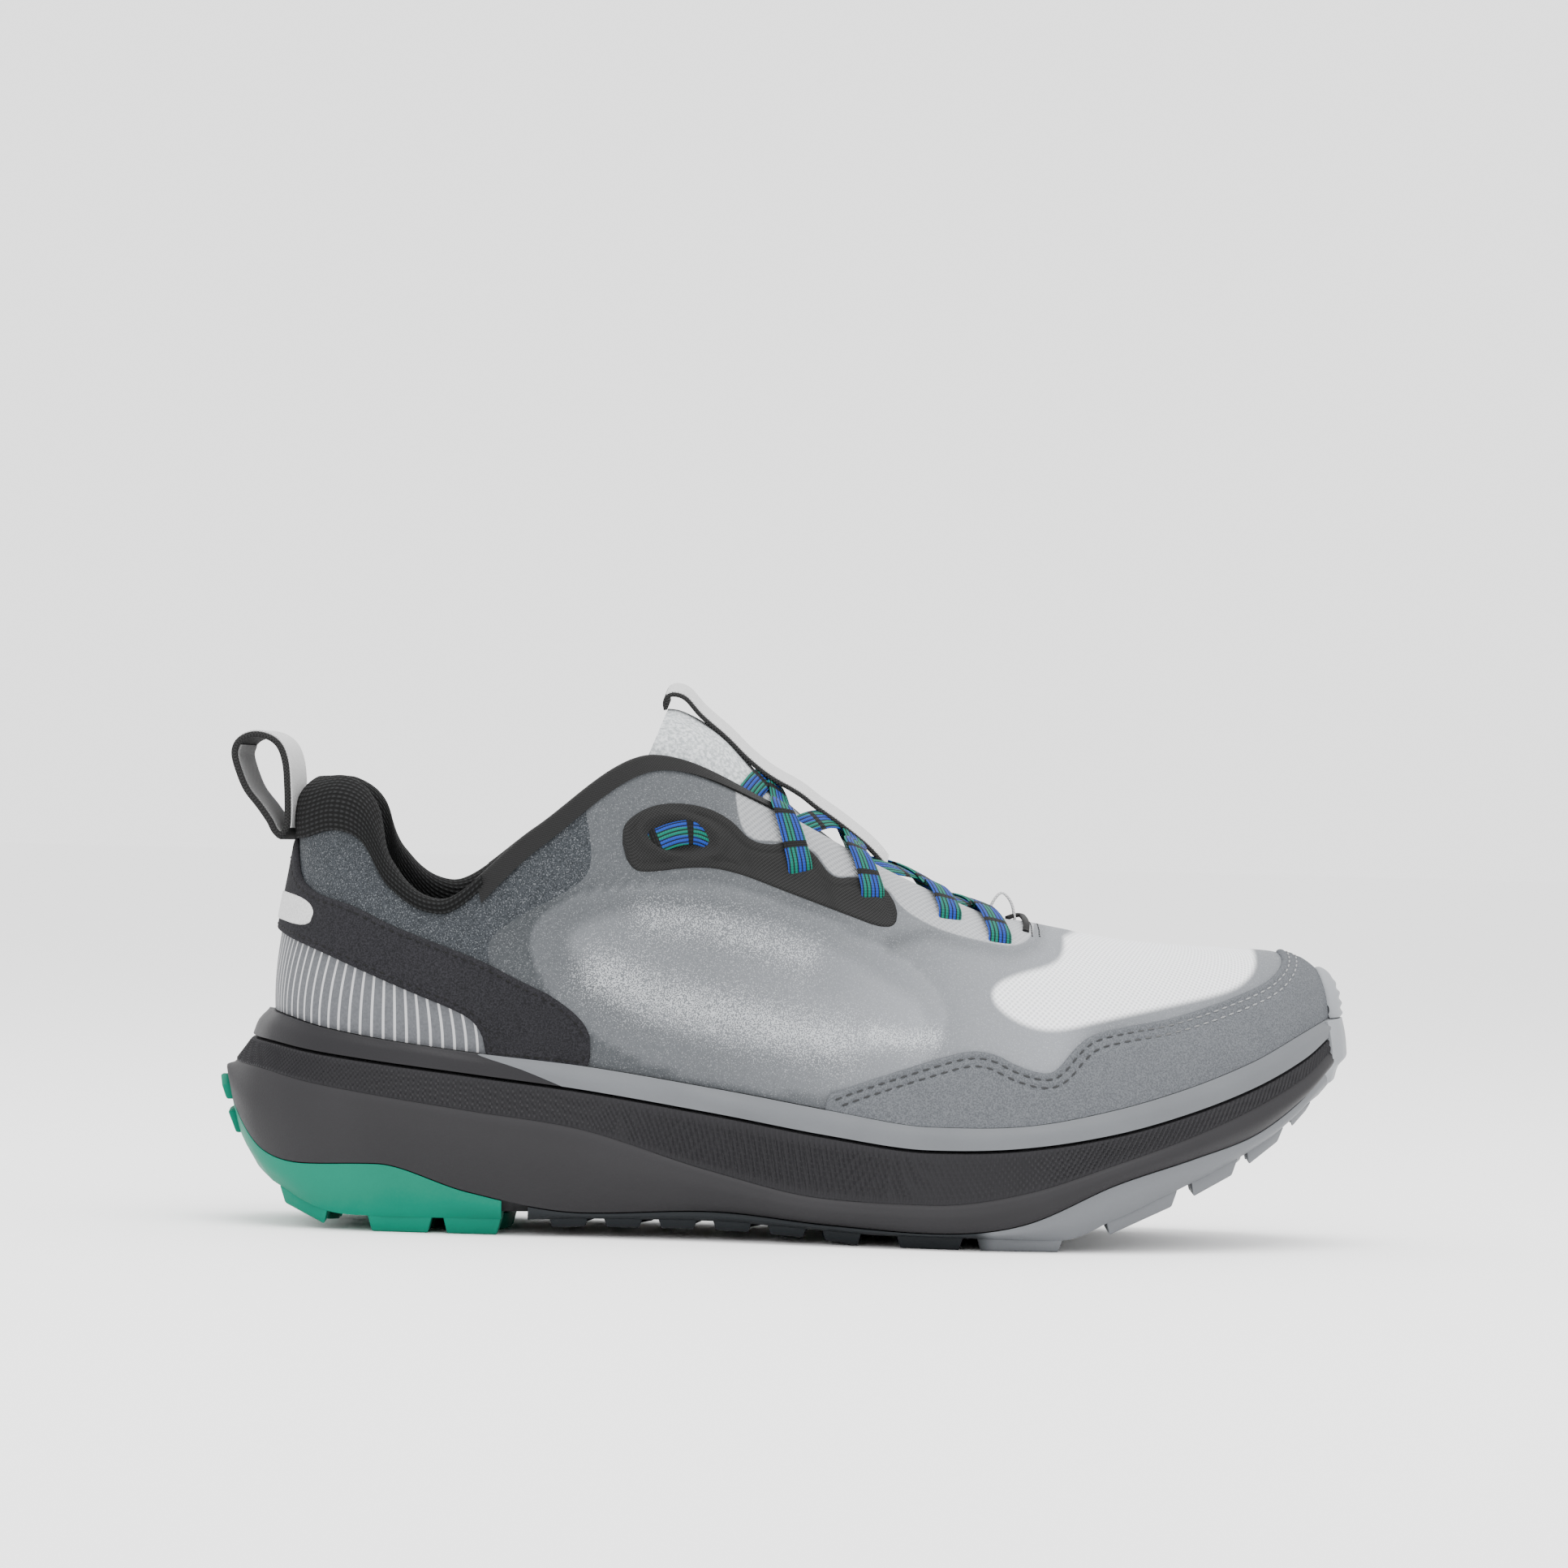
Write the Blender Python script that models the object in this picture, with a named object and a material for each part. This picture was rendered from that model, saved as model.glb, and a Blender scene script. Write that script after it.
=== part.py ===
"""Low trail running shoe for the right foot, standing on its sole.

Metres. +X points to the toe, +Y to the inner side of the foot and +Z up. The origin lies on the
ground below the middle of the shoe. Every shape is worked out from the named sizes below and from
short tables, whose rows are sections from the heel tip to the toe tip.
"""

import math
from collections import namedtuple

import bmesh
import bpy
import numpy as np

# Driving sizes
LENGTH = 0.300
SOLE_WIDTH = 0.112
SOLE_HEIGHT = 0.0608
HEEL_HEIGHT = 0.119
INSTEP_HEIGHT = 0.1245
TONGUE_HEIGHT = 0.140
WALL = 0.002
GAP = 0.0003
SEAT = 0.0006
# The heel's middle line lies this far beside the middle of the whole shoe.
MIDLINE = 0.0125 * SOLE_WIDTH

# Sole sizes
RUBBER = 0.0025
RUBBER_WALL = 0.0022
GROOVE = 0.0010
GROOVE_DEPTH = 0.0022
BAND_STEP = 0.0008
RIM_SHELF = 0.0085
FEATHER_INSET = 0.0024
BED_WALL = 0.0022
INSOLE_THICKNESS = 0.004
INSOLE_EDGE = 0.003
LUG_TAPER = 0.0010
LUG_ROOT = 0.0004
BACK_LUG = 0.0029
TREAD_BREAK = 5.42
RIM_BREAK = 5.05
RIM_SLANT = 0.75

# Upper trim sizes
OVERLAY = 0.0011
EYESTAY = 0.0008
BUMPER = 0.0022
CUFF_PAD = 0.0080
CUFF_DEPTH = 0.55
CUFF_END = 5.49
BINDING_WIDTH = 0.0036
BINDING_END = 8.0
STRAP = 0.0010
STRAP_WIDTH = 0.0125
LOOP_WIDTH = 0.0140
LACE = 0.0011
LACE_WIDTH = 0.0060
LACE_LIFT = 0.0013

# Mesh fineness
STEPS = 2
RIB_STEPS = 7

Section = namedtuple("Section", "along middle half rim_top rim_low band foam rim_in foam_in base_in bed")
# Places and widths are shares of LENGTH and SOLE_WIDTH, heights are shares of SOLE_HEIGHT, and the
# last four columns are insets and depths in shares of SOLE_WIDTH.
SOLE = (
    Section(0.0045, 0.000, 0.000, 0.930, 0.815, 0.691, 0.660, 0.090, 0.004, 0.075, 0.070),
    Section(0.0130, 0.000, 0.110, 0.920, 0.806, 0.684, 0.500, 0.083, 0.008, 0.070, 0.070),
    Section(0.0370, 0.000, 0.226, 0.908, 0.796, 0.670, 0.335, 0.067, 0.018, 0.062, 0.070),
    Section(0.0810, -0.004, 0.317, 0.870, 0.765, 0.625, 0.283, 0.049, 0.018, 0.054, 0.070),
    Section(0.1470, -0.007, 0.364, 0.822, 0.727, 0.576, 0.293, 0.040, 0.014, 0.049, 0.070),
    Section(0.2300, -0.013, 0.375, 0.776, 0.683, 0.520, 0.180, 0.036, 0.022, 0.054, 0.070),
    Section(0.3270, -0.029, 0.359, 0.730, 0.628, 0.452, 0.104, 0.031, 0.036, 0.058, 0.068),
    Section(0.4340, -0.047, 0.359, 0.655, 0.549, 0.299, 0.125, 0.031, 0.040, 0.062, 0.062),
    Section(0.5340, -0.056, 0.395, 0.576, 0.469, 0.194, 0.088, 0.031, 0.036, 0.058, 0.050),
    Section(0.6270, -0.045, 0.455, 0.518, 0.419, 0.181, 0.068, 0.031, 0.027, 0.054, 0.038),
    Section(0.7100, -0.016, 0.493, 0.531, 0.438, 0.240, 0.115, 0.031, 0.022, 0.054, 0.036),
    Section(0.7900, 0.011, 0.475, 0.605, 0.503, 0.370, 0.288, 0.029, 0.018, 0.054, 0.040),
    Section(0.8600, 0.033, 0.413, 0.704, 0.599, 0.493, 0.398, 0.027, 0.022, 0.058, 0.042),
    Section(0.9185, 0.058, 0.321, 0.814, 0.707, 0.617, 0.493, 0.023, 0.027, 0.062, 0.044),
    Section(0.9635, 0.078, 0.212, 0.928, 0.822, 0.740, 0.633, 0.020, 0.027, 0.058, 0.046),
    Section(0.9895, 0.089, 0.102, 0.990, 0.918, 0.847, 0.757, 0.016, 0.022, 0.049, 0.050),
    Section(1.0000, 0.092, 0.000, 1.003, 0.938, 0.872, 0.790, 0.014, 0.020, 0.045, 0.052),
)

Ground = namedtuple("Ground", "along base tread")
# Underside of the rubber and tips of the lugs, as shares of LENGTH and SOLE_HEIGHT.
GROUND = (
    Ground(0.000, 0.460, 0.400),
    Ground(0.027, 0.285, 0.217),
    Ground(0.053, 0.192, 0.128),
    Ground(0.097, 0.092, 0.030),
    Ground(0.133, 0.068, 0.000),
    Ground(0.262, 0.068, 0.000),
    Ground(0.285, 0.070, 0.030),
    Ground(0.327, 0.080, 0.044),
    Ground(0.433, 0.085, 0.047),
    Ground(0.527, 0.066, 0.026),
    Ground(0.587, 0.052, 0.000),
    Ground(0.742, 0.052, 0.000),
    Ground(0.787, 0.138, 0.080),
    Ground(0.843, 0.262, 0.200),
    Ground(0.880, 0.350, 0.286),
    Ground(0.932, 0.490, 0.440),
    Ground(0.978, 0.660, 0.640),
    Ground(1.000, 0.730, 0.720),
)

Crown = namedtuple("Crown", "along middle half height tilt up out reach drop swell cuff")
# The upper's top edge, then the ridge of the vamp. Heights are shares of INSTEP_HEIGHT, tilt is how
# much higher the inner side is, up to swell give the fullness of the wall, and cuff is the height
# of the collar above the edge as a share of HEEL_HEIGHT.
UPPER = (
    Crown(0.0633, 0.000, 0.000, 0.823, 0.000, 0.35, 0.009, 0.00, 0.30, 0.013, 0.138),
    Crown(0.0740, 0.000, 0.094, 0.827, 0.000, 0.35, 0.010, 0.00, 0.30, 0.014, 0.135),
    Crown(0.0983, -0.003, 0.163, 0.843, 0.000, 0.35, 0.013, 0.00, 0.30, 0.018, 0.117),
    Crown(0.1257, -0.004, 0.214, 0.819, 0.008, 0.35, 0.018, 0.00, 0.30, 0.022, 0.092),
    Crown(0.1517, -0.006, 0.250, 0.723, 0.028, 0.35, 0.018, 0.10, 0.30, 0.022, 0.060),
    Crown(0.1967, -0.006, 0.274, 0.672, 0.036, 0.35, 0.018, 0.20, 0.30, 0.018, 0.036),
    Crown(0.2800, -0.006, 0.279, 0.837, 0.012, 0.38, 0.013, 0.30, 0.20, 0.009, 0.024),
    Crown(0.3833, -0.004, 0.241, 1.000, 0.000, 0.40, 0.009, 0.35, 0.12, 0.000, 0.022),
    Crown(0.4853, 0.000, 0.183, 0.909, 0.000, 0.40, 0.007, 0.38, 0.06, 0.000, 0.022),
    Crown(0.5800, 0.004, 0.125, 0.791, 0.000, 0.42, 0.005, 0.42, 0.03, 0.000, 0.022),
    Crown(0.6667, 0.013, 0.089, 0.701, 0.000, 0.45, 0.004, 0.48, 0.01, 0.000, 0.022),
    Crown(0.7133, 0.022, 0.000, 0.677, 0.000, 0.50, 0.003, 0.52, 0.00, 0.000, 0.022),
    Crown(0.7833, 0.049, 0.000, 0.649, 0.000, 0.52, 0.002, 0.55, 0.00, 0.000, 0.022),
    Crown(0.8400, 0.067, 0.000, 0.638, 0.000, 0.55, 0.002, 0.58, 0.00, 0.000, 0.022),
    Crown(0.8800, 0.080, 0.000, 0.635, 0.000, 0.57, 0.002, 0.60, 0.00, 0.000, 0.022),
    Crown(0.9067, 0.089, 0.000, 0.631, 0.000, 0.60, 0.002, 0.60, 0.00, 0.000, 0.022),
    Crown(0.9200, 0.092, 0.000, 0.629, 0.000, 0.60, 0.002, 0.60, 0.00, 0.000, 0.022),
)
THROAT_END = 11

Saddle = namedtuple("Saddle", "along height half drop thick")
# Ridge of the tongue from its free end down to its seam: shares of LENGTH and TONGUE_HEIGHT, then
# half width and side drop as shares of SOLE_WIDTH, and thickness as a share of TONGUE_HEIGHT.
TONGUE = (
    Saddle(0.3890, 0.994, 0.165, 0.150, 0.022),
    Saddle(0.3960, 0.993, 0.190, 0.175, 0.040),
    Saddle(0.4180, 0.974, 0.200, 0.185, 0.046),
    Saddle(0.4430, 0.938, 0.200, 0.185, 0.046),
    Saddle(0.4770, 0.860, 0.188, 0.160, 0.043),
    Saddle(0.5100, 0.798, 0.174, 0.140, 0.040),
    Saddle(0.5430, 0.744, 0.166, 0.110, 0.036),
    Saddle(0.5800, 0.690, 0.160, 0.090, 0.032),
    Saddle(0.6200, 0.645, 0.150, 0.075, 0.028),
    Saddle(0.6600, 0.606, 0.135, 0.065, 0.025),
    Saddle(0.7000, 0.573, 0.115, 0.050, 0.022),
    Saddle(0.7300, 0.552, 0.090, 0.035, 0.020),
)

# Outlines seen from the side, as shares of LENGTH from the heel and of INSTEP_HEIGHT.
GUARD_EDGE = (
    (0.536, 0.20), (0.536, 0.310), (0.548, 0.324), (0.589, 0.360), (0.631, 0.394),
    (0.659, 0.414), (0.681, 0.410), (0.701, 0.384), (0.723, 0.369), (0.735, 0.374),
    (0.751, 0.424), (0.765, 0.451), (0.792, 0.467), (0.834, 0.484), (0.876, 0.516),
    (0.917, 0.553), (0.933, 0.578), (0.942, 0.605), (0.940, 0.624), (0.930, 0.638),
    (0.930, 0.80), (1.05, 0.80), (1.05, 0.20),
)
BAND_EDGE = (
    (-0.03, 0.640), (0.044, 0.630), (0.060, 0.610), (0.093, 0.582), (0.130, 0.545),
    (0.177, 0.500), (0.213, 0.468), (0.229, 0.447), (0.238, 0.414), (0.241, 0.381),
    (0.241, 0.25), (0.330, 0.25), (0.330, 0.360), (0.333, 0.398), (0.329, 0.437),
    (0.317, 0.470), (0.294, 0.507), (0.270, 0.531), (0.237, 0.571), (0.200, 0.602),
    (0.153, 0.642), (0.120, 0.682), (0.094, 0.697), (0.080, 0.713), (0.070, 0.735),
    (0.065, 0.780), (0.060, 0.806), (-0.03, 0.806),
)
EYESTAY_EDGE = (
    (0.353, 0.848), (0.357, 0.875), (0.375, 0.905), (0.398, 0.916), (0.426, 0.908),
    (0.449, 0.881), (0.465, 0.838), (0.485, 0.830), (0.496, 0.839), (0.520, 0.823),
    (0.537, 0.761), (0.560, 0.769), (0.586, 0.746), (0.598, 0.689), (0.589, 0.655),
    (0.545, 0.693), (0.498, 0.733), (0.450, 0.775), (0.418, 0.782), (0.374, 0.765),
    (0.362, 0.775), (0.355, 0.808),
)
BUMPER_EDGE = (
    (0.947, 0.80), (0.947, 0.638), (0.973, 0.603), (0.981, 0.574), (0.987, 0.513),
    (0.988, 0.40), (1.05, 0.40), (1.05, 0.80),
)
PULL_LOOP = (
    (0.0533, 0.822), (0.0478, 0.836), (0.0433, 0.856), (0.0343, 0.886), (0.0223, 0.922),
    (0.0148, 0.962), (0.0108, 0.996), (0.0128, 1.019), (0.0198, 1.034), (0.0303, 1.040),
    (0.0428, 1.032), (0.0513, 1.013), (0.0563, 0.978), (0.0583, 0.930), (0.0593, 0.880),
    (0.0588, 0.842),
)
TONGUE_STRAP = (
    (0.3880, 1.001), (0.3870, 1.014), (0.3890, 1.025), (0.3955, 1.030), (0.4060, 1.022),
    (0.4200, 0.990), (0.4430, 0.949), (0.4600, 0.911), (0.4770, 0.871), (0.4900, 0.849),
    (0.5000, 0.848), (0.5110, 0.850), (0.5240, 0.840), (0.5420, 0.812), (0.5560, 0.785),
    (0.5690, 0.757), (0.5800, 0.730), (0.5860, 0.713),
)
# Lace holes from the top one, hidden under the binding, to the front pair.
LACE_HOLES = ((0.4640, 0.940), (0.5087, 0.777), (0.5727, 0.726), (0.6410, 0.686), (0.6857, 0.639))

Tint = namedtuple("Tint", "red green blue rough")
CHARCOAL = Tint(0.060, 0.058, 0.062, 0.60)
LIGHT_RUBBER = Tint(0.290, 0.312, 0.335, 0.55)
GREEN_RUBBER = Tint(0.022, 0.360, 0.240, 0.50)
MESH_GREY = Tint(0.330, 0.355, 0.375, 0.70)
SUEDE_GREY = Tint(0.230, 0.250, 0.270, 0.90)
NUBUCK = Tint(0.045, 0.044, 0.048, 0.90)
KNIT = Tint(0.035, 0.035, 0.038, 0.95)
PALE = Tint(0.620, 0.640, 0.650, 0.80)
LACE_BLUE = Tint(0.030, 0.110, 0.260, 0.70)


def slopes(values):
    """One slope for each inner value, held back so that a curve never passes its own points."""
    found = []
    for before, here, after in zip(values, values[1:], values[2:]):
        rise, fall = here - before, after - here
        if rise * fall <= 0:
            found.append(0.0)
            continue
        most = 3 * min(abs(rise), abs(fall))
        found.append(math.copysign(min(abs(rise + fall) / 2, most), rise))
    return found


def smooth(values, place, odd=False):
    """Curve through values at 0, 1, 2 and so on, reflected at both ends."""
    last = len(values) - 1
    sign = 1.0
    if place < 0:
        place = -place
        sign = -1.0 if odd else 1.0
    if place > last:
        place = 2 * last - place
        sign = -1.0 if odd else 1.0
    turn = -1.0 if odd else 1.0
    full = [turn * values[1], *values, turn * values[-2]]
    slope = slopes(full)
    low = min(int(place), last - 1)
    part = place - low
    square, cube = part * part, part**3
    return sign * (
        (2 * cube - 3 * square + 1) * values[low]
        + (cube - 2 * square + part) * slope[low]
        + (3 * square - 2 * cube) * values[low + 1]
        + (cube - square) * slope[low + 1]
    )


def column(table, name):
    return [getattr(row, name) for row in table]


def sole(name, place):
    return smooth(column(SOLE, name), place, name == "half")


def crown(name, place):
    return smooth(column(UPPER, name), place, name == "half")


def outline(place, side):
    """Point of the sole's widest outline in plan."""
    x = LENGTH * (sole("along", place) - 0.5)
    y = MIDLINE + SOLE_WIDTH * (sole("middle", place) + side * sole("half", place))
    return np.array((x, y))


def outward(place, side):
    """Direction in plan that leaves the sole at this place."""
    step = 0.02
    dx, dy = outline(place + step, side) - outline(place - step, side)
    away = side * np.array((-dy, dx))
    return away / np.linalg.norm(away)


def plan(place, side, inset, height):
    """Point at this inset from the outline, in space."""
    x, y = outline(place, side) - outward(place, side) * inset
    return np.array((x, y, height))


def ground(name, x):
    """Height of the rubber's underside or of the lug tips at this place along the shoe."""
    share = min(max(x / LENGTH + 0.5, 0.0), 1.0)
    along = column(GROUND, "along")
    low = max(i for i, value in enumerate(along[:-1]) if value <= share)
    part = (share - along[low]) / (along[low + 1] - along[low])
    return SOLE_HEIGHT * smooth(column(GROUND, name), low + part)


def on_base(place, side, inset, lift):
    """Point of the underside at this inset, raised by lift."""
    point = plan(place, side, inset, 0.0)
    point[2] = ground("base", point[0]) + lift
    return point


def new_object(name, points, faces, tint):
    mesh = bpy.data.meshes.new(name)
    mesh.from_pydata([tuple(point) for point in points], [], faces)
    shape = bmesh.new()
    shape.from_mesh(mesh)
    bmesh.ops.remove_doubles(shape, verts=shape.verts, dist=1e-6)
    bmesh.ops.dissolve_degenerate(shape, edges=shape.edges, dist=1e-7)
    bmesh.ops.recalc_face_normals(shape, faces=shape.faces)
    shape.to_mesh(mesh)
    shape.free()
    obj = bpy.data.objects.new(name, mesh)
    parts.objects.link(obj)
    if tint:
        mesh.materials.append(material(name, tint))
    mesh.shade_smooth()
    mesh.set_sharp_from_angle(angle=math.radians(35))
    return obj


def material(name, tint):
    made = bpy.data.materials.new(name)
    made.use_nodes = True
    shader = made.node_tree.nodes["Principled BSDF"]
    shader.inputs["Base Color"].default_value = (tint.red, tint.green, tint.blue, 1.0)
    shader.inputs["Roughness"].default_value = tint.rough
    return made


def loft(name, sections, tint, closed=False, hub=None):
    """Solid through closed sections with as many points each. A section's second half runs back
    beside its first half, and where the two meet, at a tip, the solid needs no end face. A hub is
    the point that an uneven end's faces share."""
    count = len(sections[0])
    points = [point for section in sections for point in section]
    faces = []
    pairs = len(sections) if closed else len(sections) - 1
    for i in range(pairs):
        after = (i + 1) % len(sections)
        for j in range(count):
            k = (j + 1) % count
            a, b = i * count + j, i * count + k
            c, d = after * count + k, after * count + j
            faces += [(a, b, c), (a, c, d)]
    ends = [] if closed else [0, len(sections) - 1]
    for end in ends:
        section = np.array(sections[end])
        if hub is not None:
            fan = [end * count + (hub + i) % count for i in range(count)]
            faces += [(fan[0], a, b) for a, b in zip(fan[1:], fan[2:])]
        elif np.abs(section - section[::-1]).max() > 1e-6:
            faces.append(tuple(range(end * count, (end + 1) * count)))
    return new_object(name, points, faces, tint)


def places(start, end):
    """Places along a side at the shared steps, with both ends."""
    inner = [i / STEPS for i in range(math.ceil(start * STEPS + 0.2), math.floor(end * STEPS - 0.2) + 1)]
    return [start, *inner, end]


def two_sided(profile, place):
    """Closed section: the outer side's profile, then the inner side's profile back."""
    return [*profile(place, -1), *reversed(profile(place, 1))]


def rim_inset(place):
    return SOLE_WIDTH * sole("rim_in", place)


def midsole_profile(place, side):
    """Foam from the middle of the bed over the shelf and down the side to the underside."""
    rim = rim_inset(place)
    low = SOLE_HEIGHT * sole("rim_low", place)
    band = SOLE_HEIGHT * sole("band", place)
    foam = SOLE_HEIGHT * sole("foam", place) + SEAT
    bed = low - SOLE_WIDTH * sole("bed", place)
    foam_in = SOLE_WIDTH * sole("foam_in", place)
    base_in = SOLE_WIDTH * sole("base_in", place)
    edge = 0.19 * rim
    rubber = rubber_depth(place, side)
    return [
        plan(place, side, rim + RIM_SHELF + BED_WALL, bed),
        plan(place, side, rim + RIM_SHELF, low),
        plan(place, side, 0.67 * rim + GROOVE_DEPTH, low),
        plan(place, side, 0.67 * rim + BAND_STEP / 2, low - GROOVE / 2),
        plan(place, side, edge + BAND_STEP, band + BAND_STEP),
        plan(place, side, edge, band),
        plan(place, side, 0.0, 0.6 * band + 0.4 * foam),
        plan(place, side, 0.4 * foam_in, 0.25 * band + 0.75 * foam),
        plan(place, side, foam_in, foam),
        plan(place, side, foam_in + RUBBER_WALL, foam),
        on_base(place, side, base_in + RUBBER_WALL, rubber + SEAT),
    ]


def rubber_depth(place, side):
    """Rubber under the foam, thinner where the foam comes close to the ground."""
    base_in = SOLE_WIDTH * sole("base_in", place)
    room = SOLE_HEIGHT * sole("foam", place) - on_base(place, side, base_in, 0.0)[2]
    return min(RUBBER, 0.6 * room)


def outsole_profile(place, side):
    """Rubber from its underside up to its own top edge and back down under the foam."""
    foam = SOLE_HEIGHT * sole("foam", place)
    foam_in = SOLE_WIDTH * sole("foam_in", place)
    base_in = SOLE_WIDTH * sole("base_in", place)
    return [
        on_base(place, side, base_in, 0.0),
        plan(place, side, foam_in, foam),
        plan(place, side, foam_in + RUBBER_WALL - SEAT, foam),
        on_base(place, side, base_in + RUBBER_WALL - SEAT, rubber_depth(place, side)),
    ]


def rim_profile(place, side, stretch):
    """Raised edge that carries the upper. Its low points run ahead, which slants its ends."""
    ahead = place + RIM_SLANT * stretch
    levels = (
        (ahead, 0.67, GROOVE_DEPTH, GAP),
        (ahead, 0.67, GROOVE_DEPTH - GAP, GROOVE),
        (ahead, 0.67, 0.0, GROOVE),
    )
    low = [
        plan(at, side, share * rim_inset(at) + more, SOLE_HEIGHT * sole("rim_low", at) + lift)
        for at, share, more, lift in levels
    ]
    inner_low = plan(ahead, side, rim_inset(ahead) + RIM_SHELF, SOLE_HEIGHT * sole("rim_low", ahead) + GAP)
    top = SOLE_HEIGHT * sole("rim_top", place)
    return [
        *low,
        plan(place, side, rim_inset(place) + BAND_STEP / 2, top),
        plan(place, side, rim_inset(place) + FEATHER_INSET / 2, top),
        plan(place, side, rim_inset(place) + RIM_SHELF, top),
        inner_low,
    ]


def insole_profile(place, side):
    rim = rim_inset(place)
    bed = SOLE_HEIGHT * sole("rim_low", place) - SOLE_WIDTH * sole("bed", place)
    foot = rim + RIM_SHELF + BED_WALL + GAP
    return [
        plan(place, side, foot, bed + GAP),
        plan(place, side, foot, bed + GAP + INSOLE_THICKNESS),
        plan(place, side, foot + INSOLE_EDGE, bed + GAP + INSOLE_THICKNESS),
    ]


def make_midsole():
    sections = [two_sided(midsole_profile, place) for place in places(0, len(SOLE) - 1)]
    loft("midsole", sections, CHARCOAL)


def make_insole():
    sections = [two_sided(insole_profile, place) for place in places(0, len(SOLE) - 1)]
    loft("insole", sections, KNIT)


def make_rims():
    """Two bands round the shoe: the dark one behind and the light one in front."""
    last = len(SOLE) - 1

    def behind(place, side):
        return rim_profile(place, side, place / RIM_BREAK)

    def ahead(place, side):
        return rim_profile(place, side, (last - place) / (last - RIM_BREAK))

    def ring(profile, start, end):
        lateral = [profile(place, -1) for place in places(start, end)]
        medial = [profile(place, 1) for place in places(start, end)]
        return lateral, medial

    lateral, medial = ring(behind, 0.0, RIM_BREAK)
    loft("rim_heel", [*reversed(lateral), *medial[1:]], CHARCOAL, hub=5)
    lateral, medial = ring(ahead, RIM_BREAK + 4 * GAP / SOLE_WIDTH, last)
    loft("rim_front", [*lateral, *reversed(medial[:-1])], LIGHT_RUBBER, hub=5)


def lug(points_in_plan):
    """Block from inside the rubber down to the tread, narrower at its tip."""
    middle = np.mean(points_in_plan, axis=0)
    root, tip = [], []
    for point in np.array(points_in_plan):
        away = (point - middle) / np.linalg.norm(point - middle)
        root.append((*point, ground("base", point[0]) + LUG_ROOT))
        x, y = point - away * LUG_TAPER
        tip.append((x, y, ground("tread", x)))
    return root + tip


def join_lugs(obj, lugs):
    """Fuses the lugs to the rubber."""
    points, faces = [], []
    for corners in lugs:
        start, count = len(points), len(corners) // 2
        points += corners
        faces.append(tuple(start + i for i in range(count)))
        faces.append(tuple(start + count + i for i in reversed(range(count))))
        for i in range(count):
            k = (i + 1) % count
            faces.append((start + i, start + k, start + count + k, start + count + i))
    cutter = new_object(obj.name + "_lugs", points, faces, None)
    hide(cutter)
    join = obj.modifiers.new("Lugs", "BOOLEAN")
    join.operation = "UNION"
    join.object = cutter


def hide(cutter):
    parts.objects.unlink(cutter)
    helpers.objects.link(cutter)
    cutter.hide_render = True
    cutter.display_type = "WIRE"


def width_at(x, side):
    """Distance from the middle line to the underside's edge, and the middle line, at this x."""
    last = len(SOLE) - 1
    low, high = 0.0, float(last)
    for _ in range(24):
        middle = (low + high) / 2
        inset = SOLE_WIDTH * sole("base_in", middle)
        if plan(middle, side, inset, 0.0)[0] < x:
            low = middle
        else:
            high = middle
    return plan(low, side, SOLE_WIDTH * sole("base_in", low), 0.0)[1]


Tread = namedtuple("Tread", "start end pitch length")
HEEL_TREAD = Tread(0.055, 0.262, 0.0475, 0.030)
FRONT_TREAD = Tread(0.300, 0.962, 0.0475, 0.032)


def tread_lugs(tread):
    """Rows of blocks across the sole: long ones at both edges and slanted ones between them."""
    lugs = []
    count = int((tread.end - tread.start - tread.length) / tread.pitch) + 1
    for row in range(count):
        start = tread.start + row * tread.pitch
        lugs += lug_row(LENGTH * (start - 0.5), LENGTH * tread.length, row)
    return lugs


def across(x, side, share):
    """Point of the underside at this share of the way from the middle line to one edge."""
    near, far = width_at(x, -side), width_at(x, side)
    return x, (near + far) / 2 + share * (far - near) / 2


def lug_row(start, length, row):
    """Four blocks: the outer ones end at the sole's edge, the inner ones slant like an arrow."""
    end = start + length
    lean = (0.35 if row % 2 else 0.18) * length
    lugs = []
    for side in (-1, 1):
        edge = [across(start, side, 0.56), across(end, side, 0.60), across(end, side, 0.98), across(start, side, 0.98)]
        inner = [
            across(start + lean, side, 0.10), across(end + lean, side, 0.10),
            across(end, side, 0.46), across(start, side, 0.46),
        ]
        lugs += [lug(edge), lug(inner)]
    return lugs


def back_face(place, side, share, lift):
    """Point of the rubber behind the heel at this share of SOLE_HEIGHT, lifted off its face."""
    top = plan(place, side, SOLE_WIDTH * sole("foam_in", place), SOLE_HEIGHT * sole("foam", place))
    low = on_base(place, side, SOLE_WIDTH * sole("base_in", place), 0.0)
    part = (top[2] - SOLE_HEIGHT * share) / (top[2] - low[2])
    x, y = outward(place, side) * lift
    return tuple(top + (low - top) * part + np.array((x, y, 0.0)))


def heel_back_lugs():
    """Two rows of small blocks on the rubber that runs up the back of the heel."""
    lugs = []
    near = 0.12
    for low, high, far in ((0.40, 0.505, 0.80), (0.535, 0.595, 0.42)):
        for side in (-1, 1):
            corners = ((near, low), (near, high), (far, high), (far, low))
            root = [back_face(place, side, share, -2 * LUG_ROOT) for place, share in corners]
            tip = [back_face(place, side, share, BACK_LUG) for place, share in corners]
            lugs.append(root + tip)
    return lugs


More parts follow.
